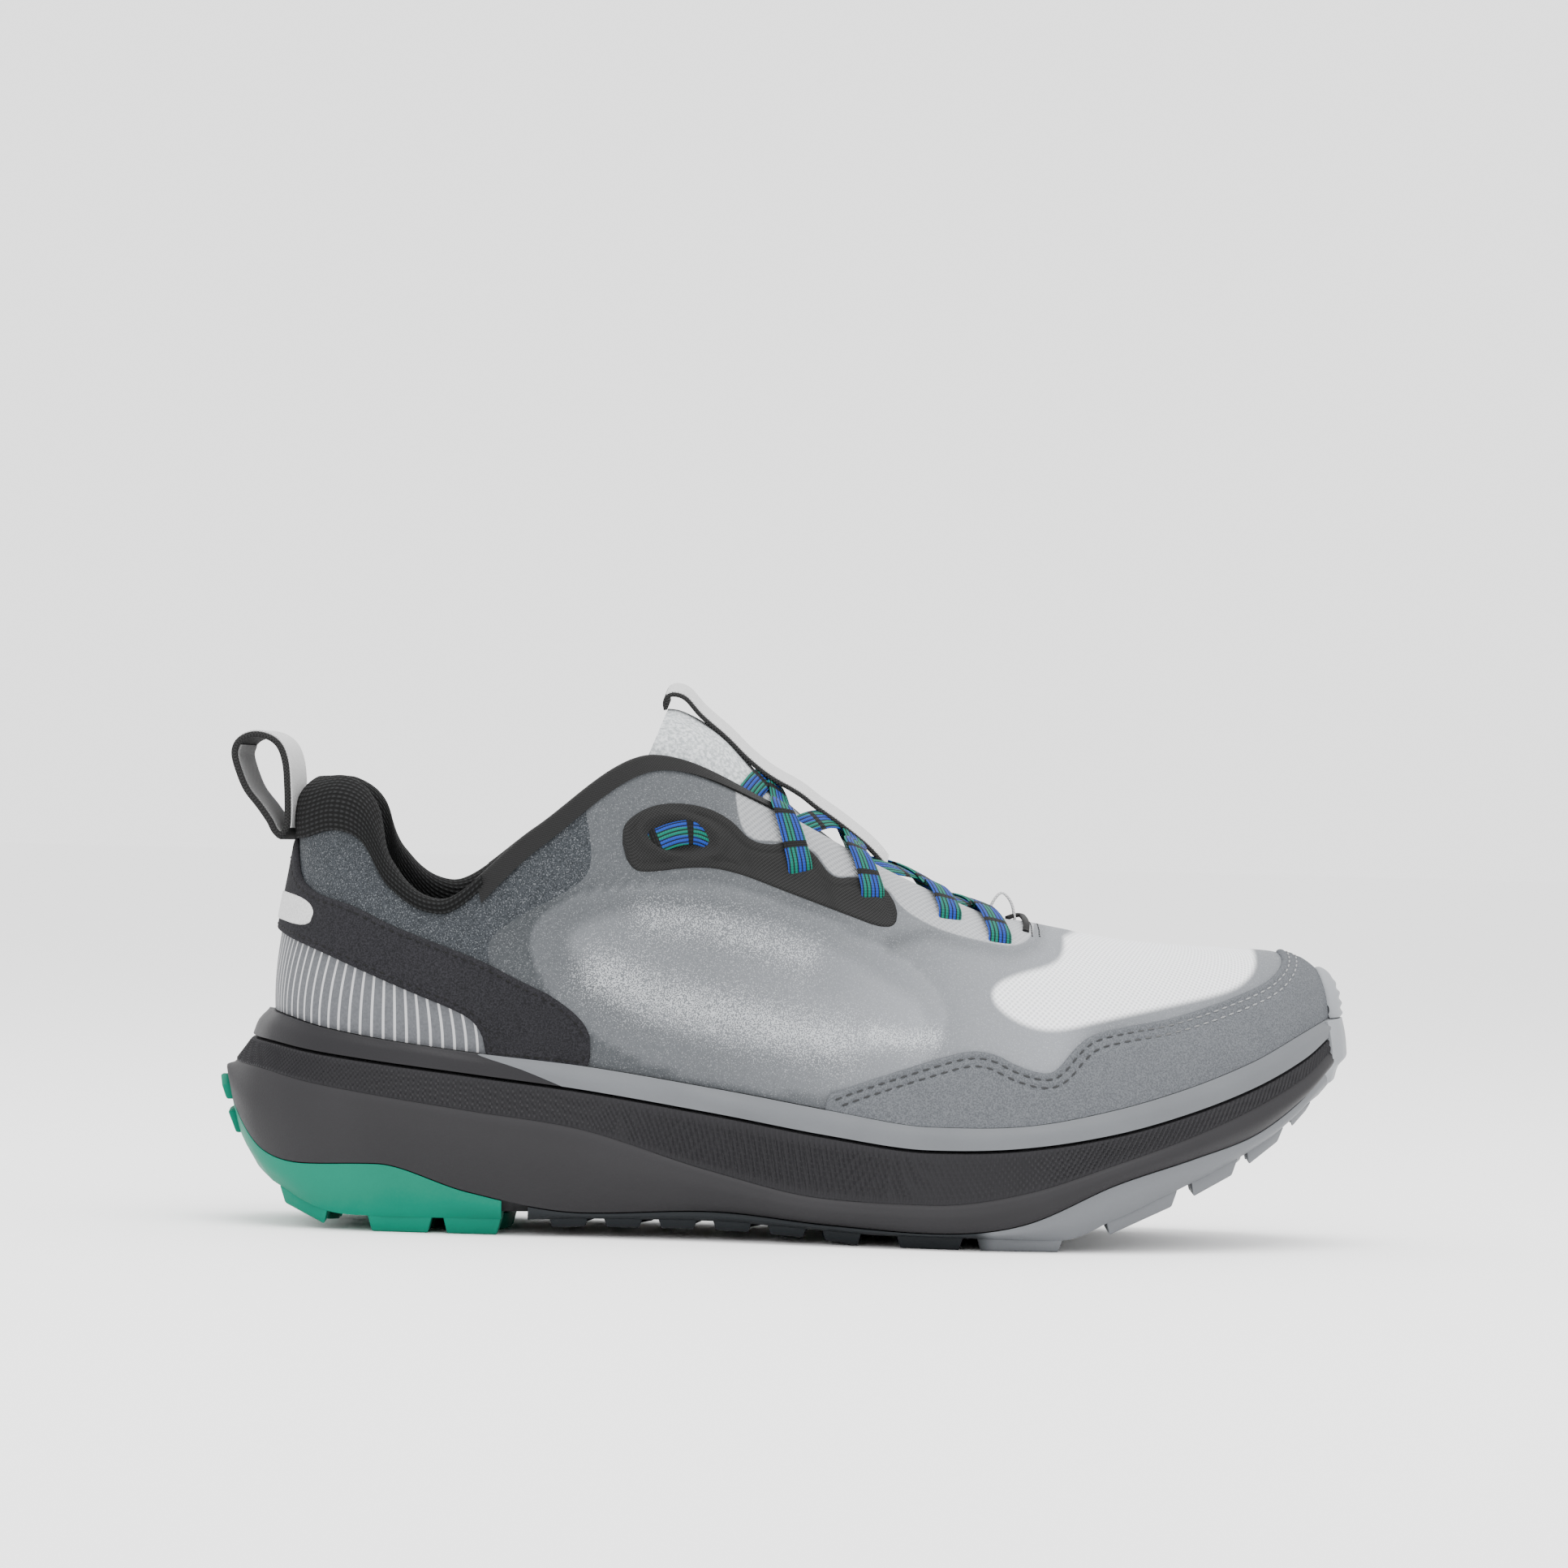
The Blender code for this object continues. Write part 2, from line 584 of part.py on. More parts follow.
def make_outsoles():
    last = len(SOLE) - 1
    gap = 0.12
    heel = [two_sided(outsole_profile, place) for place in places(0, TREAD_BREAK - gap)]
    heel = loft("outsole_heel", heel, GREEN_RUBBER)
    join_lugs(heel, tread_lugs(HEEL_TREAD) + heel_back_lugs())
    front = [two_sided(outsole_profile, place) for place in places(TREAD_BREAK + gap, last)]
    front = loft("outsole_forefoot", front, LIGHT_RUBBER)
    join_lugs(front, tread_lugs(FRONT_TREAD))


def feather(place, side):
    """Where the upper's outer face meets the rim."""
    height = SOLE_HEIGHT * sole("rim_top", place) + GAP
    return plan(place, side, rim_inset(place) + FEATHER_INSET, height)


def crest(place, side):
    """Top edge of the upper, or the ridge where it is closed."""
    x = LENGTH * (crown("along", place) - 0.5)
    y = MIDLINE + SOLE_WIDTH * (crown("middle", place) + side * crown("half", place))
    rise = crown("tilt", place) if side > 0 else 0.0
    return np.array((x, y, INSTEP_HEIGHT * (crown("height", place) + rise)))


def upper(place, side, share):
    """Point of the upper's outer face, share 0 at the rim and 1 at the top."""
    foot, top = feather(place, side), crest(place, side)
    height = top[2] - foot[2]
    across = top - foot
    across[2] = 0.0
    away = np.array((*outward(place, side), 0.0)) * SOLE_WIDTH
    up = np.array((0.0, 0.0, height))
    low = foot + up * crown("up", place) + away * crown("out", place)
    high = top - across * crown("reach", place) - up * crown("drop", place) + away * crown("swell", place)
    rest = 1.0 - share
    return rest**3 * foot + 3 * rest**2 * share * low + 3 * rest * share**2 * high + share**3 * top


class UpperNet:
    """The upper's outer face as one net of triangles, shared by the upper and all its overlays."""

    def __init__(self):
        self.last = (len(SOLE) - 1) * STEPS
        self.columns = 2 * self.last
        self.points, self.index = [], {}
        for column_index in range(self.columns):
            for row in range(RIB_STEPS + 1):
                self.index[column_index, row] = self.point_for(column_index, row)
        self.points = np.array(self.points)
        self.normals = self.find_normals()

    def place(self, column_index):
        side = 1 if column_index <= self.last else -1
        steps = column_index if side > 0 else self.columns - column_index
        return steps / STEPS, side

    def point_for(self, column_index, row):
        place, side = self.place(column_index)
        if row == RIB_STEPS and side < 0 and place >= THROAT_END:
            return self.index[self.columns - column_index, row]
        self.points.append(upper(place, side, row / RIB_STEPS))
        return len(self.points) - 1

    def triangles(self, first, last):
        found = []
        for column_index in range(first, last):
            here, after = column_index % self.columns, (column_index + 1) % self.columns
            for row in range(RIB_STEPS):
                a, b = self.index[here, row], self.index[after, row]
                c, d = self.index[after, row + 1], self.index[here, row + 1]
                found += [face for face in ((a, c, b), (a, d, c)) if len(set(face)) == 3]
        return found

    def find_normals(self):
        normals = np.zeros_like(self.points)
        for face in self.triangles(0, self.columns):
            a, b, c = self.points[list(face)]
            normals[list(face)] += np.cross(b - a, c - a)
        for column_index in range(self.columns):
            place, side = self.place(column_index)
            normals[self.index[column_index, 0], 2] = 0.0
            if place < THROAT_END:
                normals[self.index[column_index, RIB_STEPS]] = wall_frame(place, side, 1.0)[1]
        return normals / np.linalg.norm(normals, axis=1)[:, None]

    def layer(self, name, first, last, low, high, tint):
        """Closed sheet between two offsets from the face, over these columns."""
        faces = self.triangles(first, last)
        used = sorted({corner for face in faces for corner in face})
        order = {old: new for new, old in enumerate(used)}
        faces = [tuple(order[corner] for corner in face) for face in faces]
        count = len(used)
        outer = self.points[used] + self.normals[used] * high
        inner = self.points[used] + self.normals[used] * low
        edges = {(a, b) for face in faces for a, b in zip(face, face[1:] + face[:1])}
        sheet = list(faces) + [tuple(corner + count for corner in reversed(face)) for face in faces]
        for a, b in edges:
            if (b, a) not in edges:
                sheet += [(b, a, a + count), (b, a + count, b + count)]
        return new_object(name, [*outer, *inner], sheet, tint)


def prism(name, edge, near, far):
    """Cutter through the shoe from its side outline, between two distances across."""
    shape = [(LENGTH * (along - 0.5), INSTEP_HEIGHT * height) for along, height in edge]
    points = [(x, near, z) for x, z in shape] + [(x, far, z) for x, z in shape]
    count = len(shape)
    faces = [tuple(range(count)), tuple(reversed(range(count, 2 * count)))]
    for i in range(count):
        k = (i + 1) % count
        faces.append((i, k, count + k, count + i))
    cutter = new_object(name, points, faces, None)
    hide(cutter)
    return cutter


def keep_inside(obj, cutter):
    cut = obj.modifiers.new("Outline", "BOOLEAN")
    cut.operation = "INTERSECT"
    cut.object = cutter


def make_overlays(net):
    """Guard, bumper, heel band and eyestays: sheets over the upper, cut to their side outlines."""
    wide = SOLE_WIDTH
    total = net.columns
    guard = net.layer("toe_guard", 7 * STEPS, total - 7 * STEPS, GAP, GAP + OVERLAY, SUEDE_GREY)
    keep_inside(guard, prism("guard_outline", GUARD_EDGE, -wide, wide))
    low = 2 * GAP + OVERLAY
    bumper = net.layer("toe_bumper", 14 * STEPS, total - 14 * STEPS, low, low + BUMPER, LIGHT_RUBBER)
    keep_inside(bumper, prism("bumper_outline", BUMPER_EDGE, -wide, wide))
    band = net.layer("heel_band", -7 * STEPS, 7 * STEPS, GAP, GAP + OVERLAY, NUBUCK)
    keep_inside(band, prism("band_outline", BAND_EDGE, -wide, wide))
    lateral = net.layer("eyestay_lateral", total - 11 * STEPS, total - 5 * STEPS, GAP, GAP + EYESTAY, NUBUCK)
    keep_inside(lateral, prism("lateral_outline", EYESTAY_EDGE, -wide, 0.0))
    medial = net.layer("eyestay_medial", 5 * STEPS, 11 * STEPS, GAP, GAP + EYESTAY, NUBUCK)
    keep_inside(medial, prism("medial_outline", EYESTAY_EDGE, 0.0, wide))


def make_upper(net):
    net.layer("upper", 0, net.columns, -WALL, 0.0, MESH_GREY)


def wall_frame(place, side, share):
    """Point of the upper with its outward and upward directions there."""
    point = upper(place, side, share)
    step = 0.02
    rise = upper(place, side, min(share + step, 1.0)) - upper(place, side, max(share - step, 0.0))
    run = upper(place + step, side, share) - upper(place - step, side, share)
    out = side * np.cross(rise, run)
    return point, out / np.linalg.norm(out), rise / np.linalg.norm(rise)


def cuff_profile(place, side):
    """Padded collar: outside above the upper's edge, over the top and down its inner face."""
    point, out, up = wall_frame(place, side, 1.0)
    rise = HEEL_HEIGHT * crown("cuff", place)
    pad = CUFF_PAD * min(1.0, 0.45 + rise / 0.012)
    inside = WALL + SEAT
    outer = [
        point + out * 0.0002 + up * SEAT,
        point + out * 0.0012 + up * 0.45 * rise,
        point - out * 0.0006 + up * 0.85 * rise,
    ]
    top = point - out * 0.5 * pad + up * rise
    inner = [
        point - out * 0.95 * pad + up * 0.80 * rise,
        point - out * 1.10 * pad + up * 0.20 * rise,
    ]
    lining, seat = [], []
    for share, thick in ((0.85, 1.05), (0.70, 0.75), (CUFF_DEPTH, 0.35)):
        near, away, _ = wall_frame(place, side, share)
        lining.append(near - away * max(thick * pad, inside + 0.0012))
        seat.append(near - away * inside)
    return [*outer, top, *inner, *lining, *reversed(seat), point - out * inside]


def make_cuff():
    lateral = [cuff_profile(place, -1) for place in places(0.0, CUFF_END)]
    medial = [cuff_profile(place, 1) for place in places(0.0, CUFF_END)]
    sections = [*reversed(lateral), *medial[1:]]
    loft("collar_cuff", [paired(section) for section in sections], KNIT)


def paired(section):
    """Adds a point where needed, so that the two halves of a section have as many points."""
    return section if len(section) % 2 == 0 else [*section, section[-1]]


def binding_profile(place, side):
    point, out, up = wall_frame(place, side, 1.0)
    rise = HEEL_HEIGHT * crown("cuff", place)
    middle = point - out * WALL / 2
    half = BINDING_WIDTH / 2
    return [
        middle + out * half + up * SEAT,
        middle + out * half + up * 0.7 * rise,
        middle + out * 0.3 * half + up * rise,
        middle - out * 0.3 * half + up * rise,
        middle - out * half + up * 0.7 * rise,
        middle - out * half + up * SEAT,
    ]


def make_bindings():
    for name, side in (("binding_lateral", -1), ("binding_medial", 1)):
        sections = [binding_profile(place, side) for place in places(CUFF_END + 0.02, BINDING_END)]
        loft(name, sections, NUBUCK)


def path_frames(path):
    """Each point of a path in the shoe's middle plane, with the direction across its strap."""
    points = np.array(path)
    tangents = np.gradient(points, axis=0)
    tangents = tangents / np.linalg.norm(tangents, axis=1)[:, None]
    return points, np.stack((-tangents[:, 1], tangents[:, 0]), axis=1)


def side_path(shares, height):
    return [(LENGTH * (along - 0.5), height * up) for along, up in shares]


def strap(name, path, middle, width, tint, closed=False):
    """Flat strap across the shoe's middle plane along a side path."""
    if closed:
        doubled = [path[-1], *path, path[0]]
        points, across = path_frames(doubled)
        points, across = points[1:-1], across[1:-1]
    else:
        points, across = path_frames(path)
    sections = []
    for (x, z), (dx, dz) in zip(points, across):
        low = (x - dx * STRAP / 2, z - dz * STRAP / 2)
        high = (x + dx * STRAP / 2, z + dz * STRAP / 2)
        left, right = middle - width / 2, middle + width / 2
        sections.append([(low[0], left, low[1]), (low[0], right, low[1]), (high[0], right, high[1]), (high[0], left, high[1])])
    return loft(name, sections, tint, closed)


def make_loops():
    strap("pull_loop", side_path(PULL_LOOP, INSTEP_HEIGHT), MIDLINE, LOOP_WIDTH, NUBUCK, closed=True)
    strap("tongue_strap", side_path(TONGUE_STRAP, TONGUE_HEIGHT), MIDLINE, STRAP_WIDTH, PALE)


def tongue_row(name, place):
    return smooth(column(TONGUE, name), place)


def tongue_frame(place):
    """Ridge point of the tongue and the direction from it into the shoe, in the middle plane."""
    ends = []
    for at in (place - 1.5, place + 1.5):
        at = min(max(at, 1.0), len(TONGUE) - 1.0)
        ends.append(np.array((LENGTH * (tongue_row("along", at) - 0.5), TONGUE_HEIGHT * tongue_row("height", at))))
    dx, dz = ends[1] - ends[0]
    down = np.array((dz, -dx)) / math.hypot(dx, dz)
    ridge = (LENGTH * (tongue_row("along", place) - 0.5), TONGUE_HEIGHT * tongue_row("height", place))
    return np.array(ridge), down


def tongue_point(place, angle, depth):
    """Point of the tongue at this angle from its ridge, depth below its outer face."""
    ridge, down = tongue_frame(place)
    half = SOLE_WIDTH * tongue_row("half", place) - depth
    drop = SOLE_WIDTH * tongue_row("drop", place)
    sink = drop * (1 - math.cos(angle)) + depth * math.cos(angle)
    x, z = ridge + down * sink
    return (x, MIDLINE + half * math.sin(angle), z)


def make_tongue():
    spread = math.radians(84)
    angles = np.linspace(-spread, spread, 11)
    sections = []
    for place in range(len(TONGUE)):
        thick = TONGUE_HEIGHT * tongue_row("thick", place)
        outer = [tongue_point(place, angle, 0.0) for angle in angles]
        inner = [tongue_point(place, angle, thick) for angle in reversed(angles)]
        sections.append(outer + inner)
    loft("tongue", sections, PALE)


def find_share(along, height, side):
    """Place and share of the upper's point seen from the side at these shares."""
    x, z = LENGTH * (along - 0.5), INSTEP_HEIGHT * height
    low, high = 5.0, float(THROAT_END)
    share = 0.8
    for _ in range(30):
        low, high = 5.0, float(THROAT_END)
        for _ in range(20):
            place = (low + high) / 2
            low, high = (place, high) if upper(place, side, share)[0] < x else (low, place)
        below, above = 0.3, 1.0
        for _ in range(20):
            share = (below + above) / 2
            below, above = (share, above) if upper(place, side, share)[2] < z else (below, share)
    return place, share


def lace_strand(name, start, side, lift):
    """Ribbon from outside one hole over the throat to just inside the other edge, a hole back."""
    place, share = find_share(*LACE_HOLES[start], side)
    away = SEAT + EYESTAY + GAP + LACE / 2
    path = []
    for part in (0.0, 0.5, 1.0):
        point, out, _ = wall_frame(place, side, share + (0.998 - share) * part)
        path.append((point + out * (away + SEAT * part), out))
    other, _ = find_share(*LACE_HOLES[start - 1], -side)
    first, target = path[-1][0], crest(other, -side)
    for part in (0.35, 0.6, 0.85):
        x, y, _ = first + (target - first) * part
        point, out = tongue_surface(x, y)
        path.append((point + out * lift, out))
    return ribbon(name, path)


def tongue_height(x, y):
    """Height of the tongue's outer face above this point of the ground plan."""
    low, high = 0.5, len(TONGUE) - 1.0
    for _ in range(24):
        place = (low + high) / 2
        half = SOLE_WIDTH * tongue_row("half", place)
        angle = math.asin(max(min((y - MIDLINE) / half, 0.95), -0.95))
        point = tongue_point(place, angle, 0.0)
        low, high = (place, high) if point[0] < x else (low, place)
    return point[2]


def tongue_surface(x, y):
    """Point of the tongue's outer face and the direction that leaves it there."""
    step = 0.002
    height = tongue_height(x, y)
    along = (tongue_height(x + step, y) - tongue_height(x - step, y)) / (2 * step)
    beside = (tongue_height(x, y + step) - tongue_height(x, y - step)) / (2 * step)
    out = np.array((-along, -beside, 1.0))
    return np.array((x, y, height)), out / np.linalg.norm(out)


def ribbon(name, path):
    """Flat lace along a path of points and the outward directions there."""
    points = np.array([point for point, _ in path])
    tangents = np.gradient(points, axis=0)
    sections = []
    for (point, out), tangent in zip(path, tangents):
        tangent = tangent / np.linalg.norm(tangent)
        out = out - tangent * out.dot(tangent)
        out = out / np.linalg.norm(out)
        half, thick = np.cross(tangent, out) * LACE_WIDTH / 2, out * LACE / 2
        sections.append([point - half - thick, point + half - thick, point + half + thick, point - half + thick])
    return loft(name, sections, LACE_BLUE)


def make_laces():
    for start in range(1, len(LACE_HOLES)):
        name = f"lace_cross_{start}"
        under_lift = LACE_LIFT + (STRAP + 4 * SEAT if start == 1 else 0.0)
        over = lace_strand(name, start, -1, under_lift + 0.7 * LACE)
        under = lace_strand(name + "_under", start, 1, under_lift)
        hide(under)
        join = over.modifiers.new("Crossing", "BOOLEAN")
        join.operation = "UNION"
        join.object = under


def clear_scene():
    for obj in list(bpy.data.objects):
        bpy.data.objects.remove(obj, do_unlink=True)


def new_collection(name):
    made = bpy.data.collections.new(name)
    bpy.context.scene.collection.children.link(made)
    return made


clear_scene()
parts = new_collection("trail_running_shoe")
helpers = new_collection("cutters")
upper_net = UpperNet()
make_midsole()
make_insole()
make_rims()
make_outsoles()
make_upper(upper_net)
make_overlays(upper_net)
make_cuff()
make_bindings()
make_tongue()
make_loops()
make_laces()
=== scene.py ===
"""Trail running shoe for the right foot, dressed for its portrait.

Metres. +X points to the toe, +Y to the inner side of the foot and +Z up, as in the solids.
"""

import math
from collections import namedtuple

import bpy
import numpy as np
from mathutils import Matrix, Quaternion, Vector

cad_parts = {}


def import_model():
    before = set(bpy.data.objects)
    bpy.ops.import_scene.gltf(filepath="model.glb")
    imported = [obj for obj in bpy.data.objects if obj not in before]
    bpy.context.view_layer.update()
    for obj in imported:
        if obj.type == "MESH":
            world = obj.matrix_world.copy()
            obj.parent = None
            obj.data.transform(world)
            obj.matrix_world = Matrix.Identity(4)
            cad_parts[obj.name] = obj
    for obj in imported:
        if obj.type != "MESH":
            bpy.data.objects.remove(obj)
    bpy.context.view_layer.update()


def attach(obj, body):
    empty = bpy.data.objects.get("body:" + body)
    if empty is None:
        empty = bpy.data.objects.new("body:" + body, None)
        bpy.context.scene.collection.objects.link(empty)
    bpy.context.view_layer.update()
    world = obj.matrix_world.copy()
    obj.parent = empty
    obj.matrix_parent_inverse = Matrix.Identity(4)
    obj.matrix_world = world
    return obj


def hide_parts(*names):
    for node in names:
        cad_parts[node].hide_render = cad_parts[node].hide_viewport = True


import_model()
bpy.ops.object.select_all(action="DESELECT")

# Sizes of the shoe, as in its solids
LENGTH = 0.300
SOLE_WIDTH = 0.112
SOLE_HEIGHT = 0.0608
HEEL_HEIGHT = 0.119
INSTEP_HEIGHT = 0.1245
TONGUE_HEIGHT = 0.140
WALL = 0.002
GAP = 0.0003
SEAT = 0.0006
# The heel's middle line lies this far beside the middle of the whole shoe.
MIDLINE = 0.0125 * SOLE_WIDTH

# Sole sizes
RUBBER = 0.0025
RUBBER_WALL = 0.0022
GROOVE = 0.0010
GROOVE_DEPTH = 0.0022
BAND_STEP = 0.0008
RIM_SHELF = 0.0085
FEATHER_INSET = 0.0024
BED_WALL = 0.0022
INSOLE_THICKNESS = 0.004
INSOLE_EDGE = 0.003
LUG_TAPER = 0.0010
LUG_ROOT = 0.0004
BACK_LUG = 0.0029
# Rows of lugs: start and length as shares of LENGTH
FRONT_LUGS = [(0.602, 0.055), (0.671, 0.072), (0.783, 0.060), (0.858, 0.040), (0.909, 0.032), (0.950, 0.018)]
HEEL_LUGS = ((0.062, 0.042), (0.142, 0.054), (0.208, 0.048))
# Lugs behind the heel: shares of SOLE_HEIGHT at their outer end, its place, and their rise inwards
BACK_LUGS = ((0.385, 0.480, 0.80, 0.015), (0.525, 0.590, 0.42, 0.050))
BACK_LUG_START = 0.12
TREAD_BREAK = 5.42
RIM_BREAK = 5.05
RIM_SLANT = 0.75
TREAD_GAP = 0.12
RUBBER_BULGE = 0.0012
RIM_BULGE = 0.0005
# Insets of the rim's foot and of the upper band's lower edge, as shares of the rim's inset
RIM_FOOT = 0.67
BAND_FOOT = 0.19

# Upper trim sizes
OVERLAY = 0.0011
EYESTAY = 0.0008
BUMPER = 0.0022
CUFF_PAD = 0.0080
CUFF_DEPTH = 0.55
CUFF_END = 5.49
BINDING_WIDTH = 0.0036
BINDING_END = 8.0
STRAP = 0.0010
STRAP_WIDTH = 0.0125
LOOP_WIDTH = 0.0140
LACE = 0.0011
LACE_WIDTH = 0.0066
LACE_LIFT = 0.0013
LACE_UNDER_STRAP = 0.0007

# Camera: a long lens at the shoe's outer side, aimed above the shoe's middle and almost level
CAMERA_DISTANCE = 1.55
CAMERA_ELEVATION = -0.4
CAMERA_ROLL = 1.46
FRAME_WIDTH = 0.4190
AIM_X, AIM_Y, AIM_Z = -0.0019, 0.0, 0.1198

# Strength of the pale sky, and of the lights above and in front
SKY = 2.2
TOP_LIGHT = 28.0
FRONT_LIGHT = 6.0

# How far a strap's far edge lies ahead of and above its near edge, for each metre between them
LOOP_TWIST = (0.26, 0.0)
STRAP_TWIST = (0.06, 0.24)

# Colours
FOAM = (0.0235, 0.0228, 0.0245)
FOAM_BAND = (0.0185, 0.018, 0.020)
FOAM_RIM = (0.017, 0.0165, 0.0182)
GREEN = (0.001, 0.155, 0.098)
TREAD_LIGHT = (0.125, 0.131, 0.140)
# Painted shade: the grey forefoot rubber where it lies under the sole
TREAD_PAINTED_SHADE = (0.013, 0.015, 0.017)
SUEDE_DARK = (0.064, 0.068, 0.075)
SUEDE_LIGHT = (0.126, 0.133, 0.143)
BUMPER_GREY = (0.24, 0.25, 0.265)
NUBUCK_DARK = (0.008, 0.008, 0.009)
NUBUCK_LIGHT = (0.024, 0.0235, 0.027)
PALE_DARK = (0.26, 0.28, 0.29)
PALE_LIGHT = (0.62, 0.64, 0.65)
FILM_DARK = (0.028, 0.0315, 0.0345)
FILM_LIGHT = (0.35, 0.365, 0.39)
REAR_DARK = (0.012, 0.0145, 0.017)
REAR_LIGHT = (0.042, 0.047, 0.053)
MESH_LIGHT = (0.93, 0.94, 0.95)
MESH_DARK = (0.46, 0.47, 0.49)
PANEL_DARK = (0.060, 0.062, 0.068)
PANEL_LIGHT = (0.125, 0.130, 0.140)
PIN = (0.40, 0.40, 0.41)
# Colour of the painted glints on the upper's film
GLINT_PAINT = (0.62, 0.64, 0.66)

# Relief sizes
LACE_ARCH = 0.0028
TOE_WRAP = 0.0013
TOE_WRAP_FADE = (14.95, 15.35)
GUARD_SEAMS = (0.0019, 0.0039)
RIB_DEPTH = 0.0008
# Places along the shoe with the ribs' pitch there, and with their share of the depth
RIB_PITCH = ((-0.06, 0.06), (0.0013, 0.0017))
RIB_SHARE = ((-0.10, 0.02, 0.10), (0.85, 0.9, 1.0))
RIB_SLANT = 0.85
BAND_RAISE = 0.0006

Section = namedtuple("Section", "along middle half rim_top rim_low band foam rim_in foam_in base_in bed")
# Places and widths are shares of LENGTH and SOLE_WIDTH, heights are shares of SOLE_HEIGHT, and the
# last four columns are insets and depths in shares of SOLE_WIDTH.
SOLE = (
    Section(0.0045, 0.000, 0.000, 0.930, 0.815, 0.691, 0.660, 0.090, 0.004, 0.075, 0.070),
    Section(0.0130, 0.000, 0.110, 0.920, 0.806, 0.684, 0.500, 0.083, 0.008, 0.070, 0.070),
    Section(0.0370, 0.000, 0.226, 0.908, 0.796, 0.670, 0.335, 0.067, 0.018, 0.062, 0.070),
    Section(0.0810, -0.004, 0.317, 0.870, 0.765, 0.625, 0.283, 0.049, 0.018, 0.054, 0.070),
    Section(0.1470, -0.007, 0.364, 0.822, 0.727, 0.576, 0.293, 0.040, 0.014, 0.049, 0.070),
    Section(0.2300, -0.013, 0.375, 0.776, 0.683, 0.520, 0.180, 0.036, 0.022, 0.054, 0.070),
    Section(0.3270, -0.029, 0.359, 0.730, 0.628, 0.452, 0.104, 0.031, 0.036, 0.058, 0.068),
    Section(0.4340, -0.047, 0.359, 0.655, 0.549, 0.299, 0.125, 0.031, 0.040, 0.062, 0.062),
    Section(0.5340, -0.056, 0.395, 0.576, 0.469, 0.194, 0.088, 0.031, 0.036, 0.058, 0.050),
    Section(0.6270, -0.045, 0.455, 0.518, 0.419, 0.181, 0.068, 0.031, 0.027, 0.054, 0.038),
    Section(0.7100, -0.016, 0.493, 0.531, 0.438, 0.240, 0.115, 0.031, 0.022, 0.054, 0.036),
    Section(0.7900, 0.011, 0.475, 0.605, 0.503, 0.370, 0.288, 0.029, 0.018, 0.054, 0.040),
    Section(0.8600, 0.033, 0.413, 0.704, 0.599, 0.493, 0.398, 0.027, 0.022, 0.058, 0.042),
    Section(0.9185, 0.058, 0.321, 0.814, 0.707, 0.617, 0.493, 0.023, 0.027, 0.062, 0.044),
    Section(0.9635, 0.078, 0.212, 0.928, 0.822, 0.740, 0.633, 0.020, 0.027, 0.058, 0.046),
    Section(0.9895, 0.089, 0.102, 0.990, 0.918, 0.847, 0.757, 0.016, 0.022, 0.049, 0.050),
    Section(1.0000, 0.092, 0.000, 1.003, 0.938, 0.872, 0.790, 0.014, 0.020, 0.045, 0.052),
)

Ground = namedtuple("Ground", "along base tread")
# Underside of the rubber and tips of the lugs, as shares of LENGTH and SOLE_HEIGHT.
GROUND = (
    Ground(0.000, 0.460, 0.400),
    Ground(0.027, 0.285, 0.217),
    Ground(0.053, 0.192, 0.128),
    Ground(0.097, 0.092, 0.030),
    Ground(0.133, 0.068, 0.000),
    Ground(0.262, 0.068, 0.000),
    Ground(0.285, 0.070, 0.030),
    Ground(0.327, 0.080, 0.044),
    Ground(0.433, 0.085, 0.047),
    Ground(0.527, 0.066, 0.026),
    Ground(0.587, 0.052, 0.000),
    Ground(0.742, 0.052, 0.000),
    Ground(0.787, 0.138, 0.080),
    Ground(0.843, 0.262, 0.200),
    Ground(0.880, 0.350, 0.286),
    Ground(0.932, 0.490, 0.440),
    Ground(0.978, 0.660, 0.640),
    Ground(1.000, 0.730, 0.720),
)

Crown = namedtuple("Crown", "along middle half height tilt up out reach drop swell cuff")
